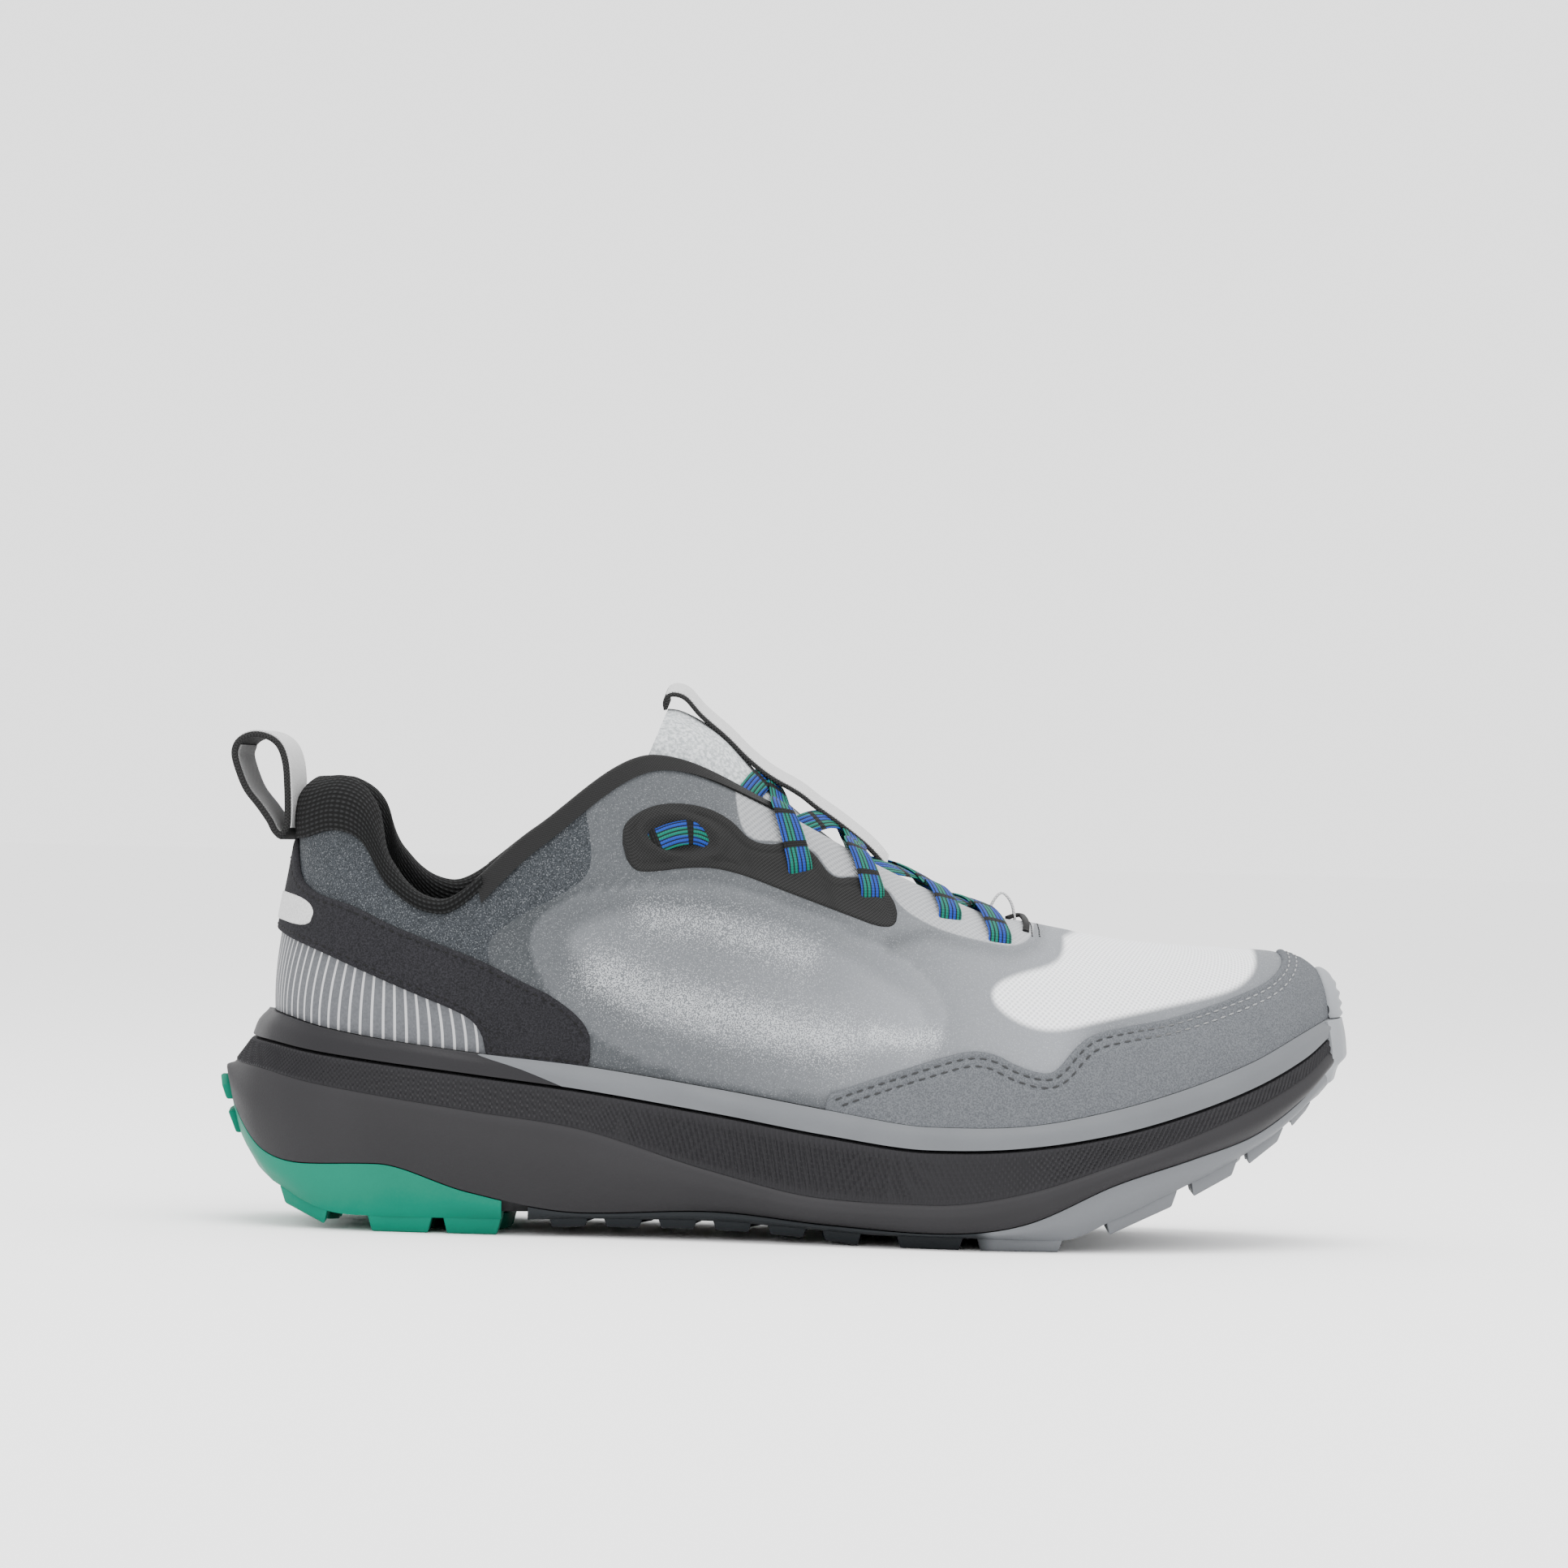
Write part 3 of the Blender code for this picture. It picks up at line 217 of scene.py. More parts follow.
# The upper's top edge, then the ridge of the vamp. Heights are shares of INSTEP_HEIGHT, tilt is how
# much higher the inner side is, up to swell give the fullness of the wall, and cuff is the height
# of the collar above the edge as a share of HEEL_HEIGHT.
UPPER = (
    Crown(0.0633, 0.000, 0.000, 0.823, 0.000, 0.35, 0.009, 0.00, 0.30, 0.013, 0.138),
    Crown(0.0740, 0.000, 0.094, 0.827, 0.000, 0.35, 0.010, 0.00, 0.30, 0.014, 0.135),
    Crown(0.0983, -0.003, 0.163, 0.843, 0.000, 0.35, 0.013, 0.00, 0.30, 0.018, 0.117),
    Crown(0.1257, -0.004, 0.214, 0.819, 0.008, 0.35, 0.018, 0.00, 0.30, 0.022, 0.092),
    Crown(0.1517, -0.006, 0.250, 0.723, 0.028, 0.35, 0.018, 0.10, 0.30, 0.022, 0.060),
    Crown(0.1967, -0.006, 0.274, 0.672, 0.036, 0.35, 0.018, 0.20, 0.30, 0.018, 0.036),
    Crown(0.2800, -0.006, 0.279, 0.837, 0.012, 0.38, 0.013, 0.30, 0.20, 0.009, 0.024),
    Crown(0.3833, -0.004, 0.241, 1.000, 0.000, 0.40, 0.009, 0.35, 0.12, 0.000, 0.022),
    Crown(0.4853, 0.000, 0.183, 0.909, 0.000, 0.40, 0.007, 0.38, 0.06, 0.000, 0.022),
    Crown(0.5800, 0.004, 0.125, 0.791, 0.000, 0.42, 0.005, 0.42, 0.03, 0.000, 0.022),
    Crown(0.6667, 0.013, 0.089, 0.701, 0.000, 0.45, 0.004, 0.48, 0.01, 0.000, 0.022),
    Crown(0.7133, 0.022, 0.000, 0.677, 0.000, 0.50, 0.003, 0.52, 0.00, 0.000, 0.022),
    Crown(0.7833, 0.049, 0.000, 0.649, 0.000, 0.52, 0.002, 0.55, 0.00, 0.000, 0.022),
    Crown(0.8400, 0.067, 0.000, 0.638, 0.000, 0.55, 0.002, 0.58, 0.00, 0.000, 0.022),
    Crown(0.8800, 0.080, 0.000, 0.635, 0.000, 0.57, 0.002, 0.60, 0.00, 0.000, 0.022),
    Crown(0.9067, 0.089, 0.000, 0.631, 0.000, 0.60, 0.002, 0.60, 0.00, 0.000, 0.022),
    Crown(0.9200, 0.092, 0.000, 0.629, 0.000, 0.60, 0.002, 0.60, 0.00, 0.000, 0.022),
)
THROAT_END = 11

Saddle = namedtuple("Saddle", "along height half drop thick")
# Ridge of the tongue from its free end down to its seam: shares of LENGTH and TONGUE_HEIGHT, then
# half width and side drop as shares of SOLE_WIDTH, and thickness as a share of TONGUE_HEIGHT.
TONGUE = (
    Saddle(0.3890, 0.994, 0.165, 0.150, 0.022),
    Saddle(0.3960, 0.993, 0.190, 0.175, 0.040),
    Saddle(0.4180, 0.974, 0.200, 0.185, 0.046),
    Saddle(0.4430, 0.938, 0.200, 0.185, 0.046),
    Saddle(0.4770, 0.860, 0.188, 0.160, 0.043),
    Saddle(0.5100, 0.798, 0.174, 0.140, 0.040),
    Saddle(0.5430, 0.744, 0.166, 0.110, 0.036),
    Saddle(0.5800, 0.690, 0.160, 0.090, 0.032),
    Saddle(0.6200, 0.645, 0.150, 0.075, 0.028),
    Saddle(0.6600, 0.606, 0.135, 0.065, 0.025),
    Saddle(0.7000, 0.573, 0.115, 0.050, 0.022),
    Saddle(0.7300, 0.552, 0.090, 0.035, 0.020),
)

# Outlines seen from the side, as shares of LENGTH from the heel and of INSTEP_HEIGHT.
GUARD_EDGE = (
    (0.536, 0.20), (0.536, 0.310), (0.548, 0.324), (0.589, 0.360), (0.631, 0.394),
    (0.659, 0.414), (0.681, 0.410), (0.701, 0.384), (0.723, 0.369), (0.735, 0.374),
    (0.751, 0.424), (0.765, 0.451), (0.792, 0.467), (0.834, 0.484), (0.876, 0.516),
    (0.917, 0.553), (0.933, 0.578), (0.942, 0.605), (0.940, 0.624), (0.930, 0.638),
    (0.930, 0.80), (1.05, 0.80), (1.05, 0.20),
)
BAND_EDGE = (
    (-0.03, 0.640), (0.044, 0.630), (0.060, 0.610), (0.093, 0.582), (0.130, 0.545),
    (0.177, 0.500), (0.213, 0.468), (0.229, 0.447), (0.238, 0.414), (0.241, 0.381),
    (0.241, 0.25), (0.330, 0.25), (0.330, 0.360), (0.333, 0.398), (0.329, 0.437),
    (0.317, 0.470), (0.294, 0.507), (0.270, 0.531), (0.237, 0.571), (0.200, 0.602),
    (0.153, 0.642), (0.120, 0.682), (0.094, 0.697), (0.080, 0.713), (0.070, 0.735),
    (0.066, 0.780), (0.063, 0.830), (0.060, 0.870), (-0.03, 0.870),
)
EYESTAY_EDGE = (
    (0.353, 0.848), (0.357, 0.875), (0.375, 0.905), (0.398, 0.916), (0.426, 0.908),
    (0.449, 0.881), (0.465, 0.838), (0.485, 0.830), (0.496, 0.839), (0.520, 0.823),
    (0.537, 0.761), (0.560, 0.769), (0.586, 0.746), (0.598, 0.689), (0.589, 0.655),
    (0.545, 0.693), (0.498, 0.733), (0.450, 0.775), (0.418, 0.782), (0.374, 0.765),
    (0.362, 0.775), (0.355, 0.808),
)
BUMPER_EDGE = (
    (0.938, 0.80), (0.940, 0.640), (0.966, 0.606), (0.974, 0.574), (0.980, 0.513),
    (0.981, 0.40), (1.05, 0.40), (1.05, 0.80),
)
PULL_LOOP = (
    (0.0533, 0.822), (0.0478, 0.836), (0.0433, 0.856), (0.0343, 0.886), (0.0223, 0.922),
    (0.0148, 0.962), (0.0108, 0.996), (0.0128, 1.019), (0.0198, 1.034), (0.0303, 1.040),
    (0.0428, 1.032), (0.0513, 1.013), (0.0563, 0.978), (0.0583, 0.930), (0.0593, 0.880),
    (0.0588, 0.842),
)
TONGUE_STRAP = (
    (0.3880, 1.001), (0.3870, 1.014), (0.3890, 1.025), (0.3955, 1.030), (0.4060, 1.022),
    (0.4200, 0.990), (0.4430, 0.949), (0.4600, 0.914), (0.4770, 0.885), (0.4900, 0.868),
    (0.5000, 0.857), (0.5110, 0.843), (0.5240, 0.822), (0.5420, 0.796), (0.5560, 0.774),
    (0.5690, 0.752), (0.5800, 0.729), (0.5860, 0.713),
)
# Lace holes from the top one, hidden under the binding, to the front pair.
LACE_HOLES = ((0.4530, 0.950), (0.5087, 0.777), (0.5727, 0.726), (0.6410, 0.686), (0.6857, 0.639))

# Side outlines of the upper's zones, in millimetres from the middle of the shoe and from the ground.
REAR_EDGE = (
    (-160, 132), (-56, 132), (-54.2, 113.6), (-52.2, 104.4), (-51.6, 97.4), (-53.0, 94.0),
    (-57.1, 90.4), (-65.9, 85.7), (-72.8, 81.6), (-77.3, 77.9), (-78.3, 74.4), (-77.6, 70.0),
    (-74, 30), (-160, 30),
)
WINDOW_EDGE = (
    (73.9, 83.4), (73.4, 76.3), (69.7, 73.2), (60.5, 70.9), (54.8, 68.3), (54.0, 64.9), (58.3, 60.8),
    (65.1, 58.0), (71.7, 57.7), (83.5, 60.7), (100, 64.4), (116.8, 68.2), (122.6, 71.8), (124.9, 76.0),
    (123.9, 84),
)
PINSTRIPE_EDGE = (
    (-160, 84), (-136, 82), (-120, 76), (-100, 67), (-86, 62), (-76, 56), (-66, 48), (-66, 30),
    (-160, 30),
)
COLLAR_EDGE = (
    (-160, 101.5), (-123.7, 103.5), (-117.4, 105.7), (-111.8, 101.7), (-108.1, 94.8), (-103, 87.9),
    (-97.3, 84.6), (-92.4, 83.7), (-83.4, 89.1), (-76.6, 94.9), (-66.3, 104.2), (-56.2, 114.3),
    (-44.7, 122.6), (-44.7, 150), (-160, 150),
)
PATCH_EDGE = (
    (-160, 92.5), (-135.1, 88.2), (-126.2, 86.0), (-123.4, 82.2), (-125.7, 78.2), (-136.5, 81.0),
    (-160, 86.0),
)
EYELET_WINDOW = (
    (-36.5, 107.8), (-33.0, 109.2), (-27.5, 108.4), (-21.5, 105.4), (-19.4, 102.8), (-22.0, 101.4),
    (-29.0, 101.4), (-35.0, 103.4), (-37.4, 105.6),
)
# Light mesh beside the laces, and the two nested fields on the side.
THROAT_EDGE = (
    (-15.5, 125), (-13.5, 108.5), (-9.5, 104.5), (-3.5, 104.8), (6.5, 103), (9.5, 98.2), (12.5, 95.4),
    (18, 96.4), (26, 93.4), (29.5, 88.0), (36.7, 83.8), (43.5, 81.4), (53.7, 79.2), (60.2, 78.5),
    (64.7, 81.0), (66, 86.1), (66, 110), (0, 140),
)
FIELD_EDGE = (
    (-67.9, 76.9), (-65.7, 83.0), (-57.8, 88.8), (-46.7, 91.9), (-30.3, 93.0), (-14.9, 92.3),
    (-1.7, 89.3), (11.6, 84.2), (24.9, 78.0), (36.0, 71.7), (42.7, 62.1), (40.8, 51.0), (27.9, 42.0),
    (8.2, 38.2), (-18.1, 40.6), (-40.1, 46.6), (-57.8, 57.2), (-65.1, 68.1),
)
INNER_EDGE = (
    (-58.9, 76.2), (-56.4, 81.8), (-45.8, 86.4), (-30.5, 87.8), (-15.1, 87.1), (0.3, 83.1),
    (15.8, 75.8), (26.9, 69.5), (36.8, 63.2), (38.1, 55.6), (29.4, 50.9), (9.7, 48.3), (-14.5, 50.0),
    (-36.5, 55.4), (-51.0, 65.4),
)
THROAT_BAND = ((27, 79), (36.8, 81.6), (45, 79.6), (53.7, 77.6), (59.9, 76.9), (65.5, 79.5), (68, 86))
EYESTAY_TROUGH = ((-10.8, 98.4), (8, 92.3), (25.9, 85.2))
# Lines where the film is pressed out or in: points, width and height in metres.
EMBOSSING = (
    (((-44, 90), (-30, 90), (-14, 87), (2, 81), (20, 71)), 0.0030, 0.0007),
    (((-54, 74), (-40, 68), (-20, 62), (-2, 56), (14, 52)), 0.0045, 0.0009),
    (((-40, 80), (-24, 77), (-6, 72), (12, 65)), 0.0035, -0.0007),
    (((26, 76), (38, 68), (43, 60), (41, 52)), 0.0030, 0.0005),
)
# Lines along which painted glints lie on the film: points, width in metres and strength.
PAINTED_GLINT_LINES = (
    (((-36, 83.5), (-22, 82.5), (-8, 79), (4, 75)), 0.0060, 0.7),
    (((-48, 69), (-34, 63), (-16, 59), (2, 55), (14, 53)), 0.0075, 0.9),
    (((24, 55), (32, 53.5), (38, 54.5)), 0.0035, 0.9),
    (((-30, 111), (-16, 108)), 0.0030, 0.2),
)
# The clear loop before the laces, in metres
LACE_KEEPER = ((0.0532, 0.0850), (0.0545, 0.0893), (0.0570, 0.0922), (0.0597, 0.0895), (0.0608, 0.0845))
# The lace's dark tip, then the lace behind the window: side-view place in millimetres and height
# over the wall.
LACE_TIP = ((58.6, 86.4, 0.4), (60.6, 86.0, 1.4), (62.3, 84.9, 1.6), (63.0, 83.4, 1.3), (63.0, 82.0, 0.4))
EYELET_LACE = (
    (-43.5, 100.4, -0.9), (-38.5, 102.0, -0.8), (-35.5, 103.4, 0.7), (-30.0, 105.4, 1.3),
    (-24.5, 106.0, 0.9), (-19.0, 104.4, -0.8),
)
THROAT_SEAMS = (0.0646, 0.0666)
THROAT_SEAM_ENDS = (0.0806, 0.0862)
# Sewing threads: distance from stitch to stitch, a stitch's length and width, and its height.
Thread = namedtuple("Thread", "pitch length width lift")
GUARD_THREAD = Thread(0.0030, 0.0021, 0.00055, GAP + OVERLAY - 0.0002)
WRAP_THREAD = Thread(0.0026, 0.0019, 0.0005, GAP + OVERLAY)
THROAT_THREAD = Thread(0.0014, 0.0011, 0.0005, 0.0003)
WRAP_SEAM = 0.0016
# Steps of the film: zone, side of its edge, height, and where the step starts and ends
FILM_STEPS = (
    ("rear", -1, 0.0003, -0.0002, 0.0010), ("window", 1, -0.00015, -0.0008, 0.0008),
    ("field", 1, 0.0003, -0.0004, 0.0004), ("inner", 1, -0.0003, -0.0004, 0.0012),
)


class Curve:
    """A table's column as a smooth curve over its rows 0, 1, 2 and so on, reflected at both ends."""

    def __init__(self, values, odd=False):
        self.values = np.array(values, float)
        self.odd = odd
        turn = -1.0 if odd else 1.0
        full = np.array([turn * values[1], *values, turn * values[-2]])
        rise, fall = np.diff(full)[:-1], np.diff(full)[1:]
        most = 3 * np.minimum(np.abs(rise), np.abs(fall))
        held = np.sign(rise) * np.minimum(np.abs(rise + fall) / 2, most)
        self.slopes = np.where(rise * fall > 0, held, 0.0)

    def __call__(self, place):
        last = len(self.values) - 1
        place = np.asarray(place, float)
        turned = (place < 0) | (place > last)
        inside = np.where(place < 0, -place, np.where(place > last, 2 * last - place, place))
        low = np.clip(inside.astype(int), 0, last - 1)
        part = inside - low
        square, cube = part**2, part**3
        found = (
            (2 * cube - 3 * square + 1) * self.values[low]
            + (cube - 2 * square + part) * self.slopes[low]
            + (3 * square - 2 * cube) * self.values[low + 1]
            + (cube - square) * self.slopes[low + 1]
        )
        return np.where(turned & self.odd, -found, found)


def curves(table):
    return {name: Curve([getattr(row, name) for row in table], name == "half") for name in table[0]._fields}


sole, crown, saddle = curves(SOLE), curves(UPPER), curves(TONGUE)
saddle["half"].odd = False
under = {name: Curve([getattr(row, name) for row in GROUND]) for name in Ground._fields}
LAST = len(SOLE) - 1


def unit(vectors):
    return vectors / np.maximum(np.linalg.norm(vectors, axis=-1, keepdims=True), 1e-12)


def wide(name, place):
    """A width or inset from the sole's table, in metres."""
    return SOLE_WIDTH * sole[name](place)


def tall(name, place):
    """A height from the sole's table, in metres."""
    return SOLE_HEIGHT * sole[name](place)


def outline(place, side):
    """Point of the sole's widest outline in plan."""
    x = LENGTH * (sole["along"](place) - 0.5)
    y = MIDLINE + SOLE_WIDTH * (sole["middle"](place) + side * sole["half"](place))
    return np.stack((x, y), -1)


def outward(place, side):
    """Direction in plan that leaves the sole at this place."""
    place = np.asarray(place, float)
    step = outline(place + 0.02, side) - outline(place - 0.02, side)
    return unit(side * np.stack((-step[..., 1], step[..., 0]), -1))


def leaving(place, side):
    """The outward direction in space, level with the ground."""
    flat = outward(place, side)
    return np.concatenate((flat, np.zeros(flat.shape[:-1] + (1,))), -1)


def plan(place, side, inset, height):
    """Point at this inset from the outline, in space."""
    place, inset, height = np.broadcast_arrays(*(np.asarray(item, float) for item in (place, inset, height)))
    flat = outline(place, side) - outward(place, side) * inset[..., None]
    return np.concatenate((flat, height[..., None]), -1)


def at(place, side, *rows):
    """Points at the inset and height of each row."""
    return [plan(place, side, inset, height) for inset, height in rows]


def ground(name, x):
    """Height of the rubber's underside or of the lug tips at this place along the shoe."""
    share = np.clip(np.asarray(x) / LENGTH + 0.5, 0.0, 1.0)
    along = under["along"].values
    low = np.clip(np.searchsorted(along, share, "right") - 1, 0, len(along) - 2)
    return SOLE_HEIGHT * under[name](low + (share - along[low]) / (along[low + 1] - along[low]))


def on_base(place, side, inset, lift):
    point = plan(place, side, inset, 0.0)
    point[..., 2] = ground("base", point[..., 0]) + lift
    return point


def feather(place, side):
    """Where the upper's outer face meets the rim."""
    return plan(place, side, wide("rim_in", place) + FEATHER_INSET, tall("rim_top", place) + GAP)


def crest(place, side):
    """Top edge of the upper, or the ridge where it is closed."""
    x = LENGTH * (crown["along"](place) - 0.5)
    y = MIDLINE + SOLE_WIDTH * (crown["middle"](place) + side * crown["half"](place))
    rise = crown["tilt"](place) * (side > 0)
    return np.stack((x, y, INSTEP_HEIGHT * (crown["height"](place) + rise)), -1)


def upper(place, side, share):
    """Point of the upper's outer face, share 0 at the rim and 1 at the top."""
    place, share = np.broadcast_arrays(np.asarray(place, float), np.asarray(share, float))
    foot, top = feather(place, side), crest(place, side)
    up = np.zeros_like(foot)
    up[..., 2] = top[..., 2] - foot[..., 2]
    across = (top - foot) - up
    away = leaving(place, side) * SOLE_WIDTH
    grow = {name: crown[name](place)[..., None] for name in ("up", "out", "reach", "drop", "swell")}
    low = foot + up * grow["up"] + away * grow["out"]
    high = top - across * grow["reach"] - up * grow["drop"] + away * grow["swell"]
    share = share[..., None]
    rest = 1.0 - share
    return rest**3 * foot + 3 * rest**2 * share * low + 3 * rest * share**2 * high + share**3 * top


def wall_frame(place, side, share):
    """Point of the upper with its outward and upward directions there."""
    share = np.asarray(share, float)
    place = np.asarray(place)
    step = 0.02
    above, below = np.minimum(share + step, 1.0), np.maximum(share - step, 0.0)
    rise = upper(place, side, above) - upper(place, side, below)
    run = upper(place + step, side, share) - upper(place - step, side, share)
    return upper(place, side, share), unit(side * np.cross(rise, run)), unit(rise)


def spread(start, end, count, side):
    """Places evenly spaced along the sole's outline."""
    fine = np.linspace(start, end, 4000)
    steps = np.linalg.norm(np.diff(outline(fine, side), axis=0), axis=1)
    length = np.concatenate(([0.0], np.cumsum(steps)))
    return np.interp(np.linspace(0.0, length[-1], count), length, fine)


def ease(value, low, high):
    """0 below low, 1 above high and smooth between them."""
    part = np.clip((value - low) / (high - low), 0.0, 1.0)
    return part * part * (3 - 2 * part)


def through(points, steps):
    """Smooth curve through rows of points, with this many steps between two of them."""
    rows = [2 * points[0] - points[1], *points, 2 * points[-1] - points[-2]]
    found = []
    for before, here, after, beyond in zip(rows, rows[1:], rows[2:], rows[3:]):
        for part in np.arange(steps) / steps:
            found.append(
                0.5 * (2 * here + (after - before) * part
                       + (2 * before - 5 * here + 4 * after - beyond) * part**2
                       + (3 * here - before - 3 * after + beyond) * part**3)
            )
    return [*found, points[-1]]


def rounded(points):
    """Closed outline with its corners cut off twice."""
    points = np.array(points, float)
    for _ in range(2):
        after = np.roll(points, -1, axis=0)
        points = np.stack((0.75 * points + 0.25 * after, 0.25 * points + 0.75 * after), 1).reshape(-1, 2)
    return points


zone = {
    name: rounded([(LENGTH * (along - 0.5), INSTEP_HEIGHT * height) for along, height in shares])
    for name, shares in (
        ("guard", GUARD_EDGE), ("band", BAND_EDGE), ("eyestay", EYESTAY_EDGE), ("bumper", BUMPER_EDGE),
    )
}
zone.update({
    name: rounded(np.array(points, float) / 1000.0)
    for name, points in (
        ("rear", REAR_EDGE), ("window", WINDOW_EDGE), ("pinstripe", PINSTRIPE_EDGE),
        ("collar", COLLAR_EDGE), ("throat", THROAT_EDGE), ("field", FIELD_EDGE), ("inner", INNER_EDGE),
        ("patch", PATCH_EDGE), ("eyelet", EYELET_WINDOW),
    )
})


def depth_inside(points, edge):
    """Distance in the side view from a closed outline, positive inside it."""
    flat = np.asarray(points, float)[..., [0, 2]]
    shape = flat.shape[:-1]
    flat = flat.reshape(-1, 2)
    nearest = np.full(len(flat), np.inf)
    inside = np.zeros(len(flat), bool)
    for a, b in zip(edge, np.roll(edge, -1, axis=0)):
        run = b - a
        part = np.clip(((flat - a) @ run) / (run @ run), 0.0, 1.0)
        nearest = np.minimum(nearest, np.linalg.norm(flat - a - part[:, None] * run, axis=1))
        crosses = (a[1] > flat[:, 1]) != (b[1] > flat[:, 1])
        reach = a[0] + (flat[:, 1] - a[1]) * run[0] / (run[1] or 1.0)
        inside ^= crosses & (flat[:, 0] < reach)
    return np.where(inside, nearest, -nearest).reshape(shape)


def nearness(points, path, width):
    """1 on an open side-view path, falling off to 0 over this width."""
    flat = np.asarray(points, float)[..., [0, 2]]
    nearest = np.full(flat.shape[:-1], np.inf)
    path = np.array(path, float) / 1000.0
    for a, b in zip(path, path[1:]):
        run = b - a
        part = np.clip(((flat - a) @ run) / (run @ run), 0.0, 1.0)
        nearest = np.minimum(nearest, np.linalg.norm(flat - a - part[..., None] * run, axis=-1))
    return np.exp(-((nearest / width) ** 2))


def sheet(name, points):
    """Grid primitive bent so that its corners lie at points[column, row], with a map in metres."""
    wide, high = points.shape[:2]
    bpy.ops.mesh.primitive_grid_add(x_subdivisions=wide - 1, y_subdivisions=high - 1, size=2)
    obj = bpy.context.object
    obj.name = obj.data.name = name
    mesh = obj.data
    flat = np.empty(len(mesh.vertices) * 3)
    mesh.vertices.foreach_get("co", flat)
    flat = flat.reshape(-1, 3)
    column = np.rint((flat[:, 0] + 1) / 2 * (wide - 1)).astype(int)
    row = np.rint((flat[:, 1] + 1) / 2 * (high - 1)).astype(int)
    mesh.vertices.foreach_set("co", points[column, row].astype(np.float32).ravel())
    middle = points[:, high // 2]
    along = np.concatenate(([0.0], np.cumsum(np.linalg.norm(np.diff(middle, axis=0), axis=1))))
    up = np.linalg.norm(np.diff(points, axis=1), axis=2)
    up = np.concatenate((np.zeros((wide, 1)), np.cumsum(up, axis=1)), axis=1)
    corner = np.empty(len(mesh.loops), int)
    mesh.loops.foreach_get("vertex_index", corner)
    places = np.stack((along[column[corner]], up[column[corner], row[corner]]), 1)
    mesh.uv_layers[0].uv.foreach_set("vector", places.astype(np.float32).ravel())
    mesh.update()
    return obj


def edit(obj, *steps):
    """Runs edit-mode steps on all of the piece. A step is an operator with its settings."""
    bpy.ops.object.select_all(action="DESELECT")
    obj.select_set(True)
    bpy.context.view_layer.objects.active = obj
    bpy.ops.object.mode_set(mode="EDIT")
    bpy.ops.mesh.select_all(action="SELECT")
    for operator, settings in steps:
        operator(**settings)
    bpy.ops.object.mode_set(mode="OBJECT")


MERGE = (bpy.ops.mesh.remove_doubles, {"threshold": 2e-5})
FACE_OUT = (bpy.ops.mesh.normals_make_consistent, {"inside": False})
CLOSE = (bpy.ops.mesh.fill_holes, {"sides": 0})
ALL = (bpy.ops.mesh.select_all, {"action": "SELECT"})


def tube(name, sections, ring=False):
    """Closed sections, as sections[column, point], skinned to one closed piece."""
    sections = np.concatenate((sections, sections[:, :1]), axis=1)
    if ring:
        sections = np.concatenate((sections, sections[:1]), axis=0)
    obj = sheet(name, sections)
    edit(obj, MERGE, CLOSE, ALL, FACE_OUT)
    return obj


def modify(obj, kind, **settings):
    modifier = obj.modifiers.new(kind.title(), kind)
    for key, value in settings.items():
        setattr(modifier, key, value)
    bpy.context.view_layer.objects.active = obj
    bpy.ops.object.modifier_apply(modifier=modifier.name)


def soften(obj, width):
    modify(obj, "BEVEL", width=width, segments=2, limit_method="ANGLE", angle_limit=math.radians(32))


def join(name, pieces):
    bpy.ops.object.select_all(action="DESELECT")
    for piece in pieces:
        piece.select_set(True)
    bpy.context.view_layer.objects.active = pieces[0]
    if len(pieces) > 1:
        bpy.ops.object.join()
    pieces[0].name = pieces[0].data.name = name
    return pieces[0]


def places_of(obj):
    flat = np.empty(len(obj.data.vertices) * 3)
    obj.data.vertices.foreach_get("co", flat)
    return flat.reshape(-1, 3)


def note(obj, name, values):
    """Keeps one number for each corner of the mesh, for a material to read."""
    made = obj.data.attributes.new(name, "FLOAT", "POINT")
    made.data.foreach_set("value", np.asarray(values, np.float32))


def done(obj, look, slot, *nodes):
    """Gives the piece its finish and hands it to the model's one body."""
    bpy.ops.object.select_all(action="DESELECT")
    obj.select_set(True)
    bpy.context.view_layer.objects.active = obj
    bpy.ops.object.shade_smooth_by_angle(angle=math.radians(40))
    obj.data.materials.clear()
    obj.data.materials.append(finish[look].material)
    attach(obj, "root")
    if nodes:
        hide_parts(*nodes)


class Signal:
    """A number or colour that varies over a surface. Operators on a number add Math nodes."""

    def __init__(self, finish, socket):
        self.finish = finish
        self.socket = socket

    def math(self, operation, *terms):
        return self.finish.add("ShaderNodeMath", {"operation": operation}, dict(enumerate(terms)))

    def __add__(self, other):
        return self.math("ADD", self, other)

    def __sub__(self, other):
        return self.math("SUBTRACT", self, other)

    def __rsub__(self, other):
        return self.math("SUBTRACT", other, self)

    def __mul__(self, other):
        return self.math("MULTIPLY", self, other)

    __radd__ = __add__
    __rmul__ = __mul__

    def wave(self):
        return self.math("SINE", self)

    def wrap(self, length):
        return self.math("FLOORED_MODULO", self, length)

    def most(self, other):
        return self.math("MAXIMUM", self, other)

    def between(self, low, high):
        """0 below low and 1 above high."""
        return self.finish.add(
            "ShaderNodeMapRange", {"interpolation_type": "SMOOTHSTEP"},
            {"Value": self, "From Min": low, "From Max": high},
        )


# Outputs of the Texture Coordinate node
ON_MAP, IN_OBJECT = 2, 3


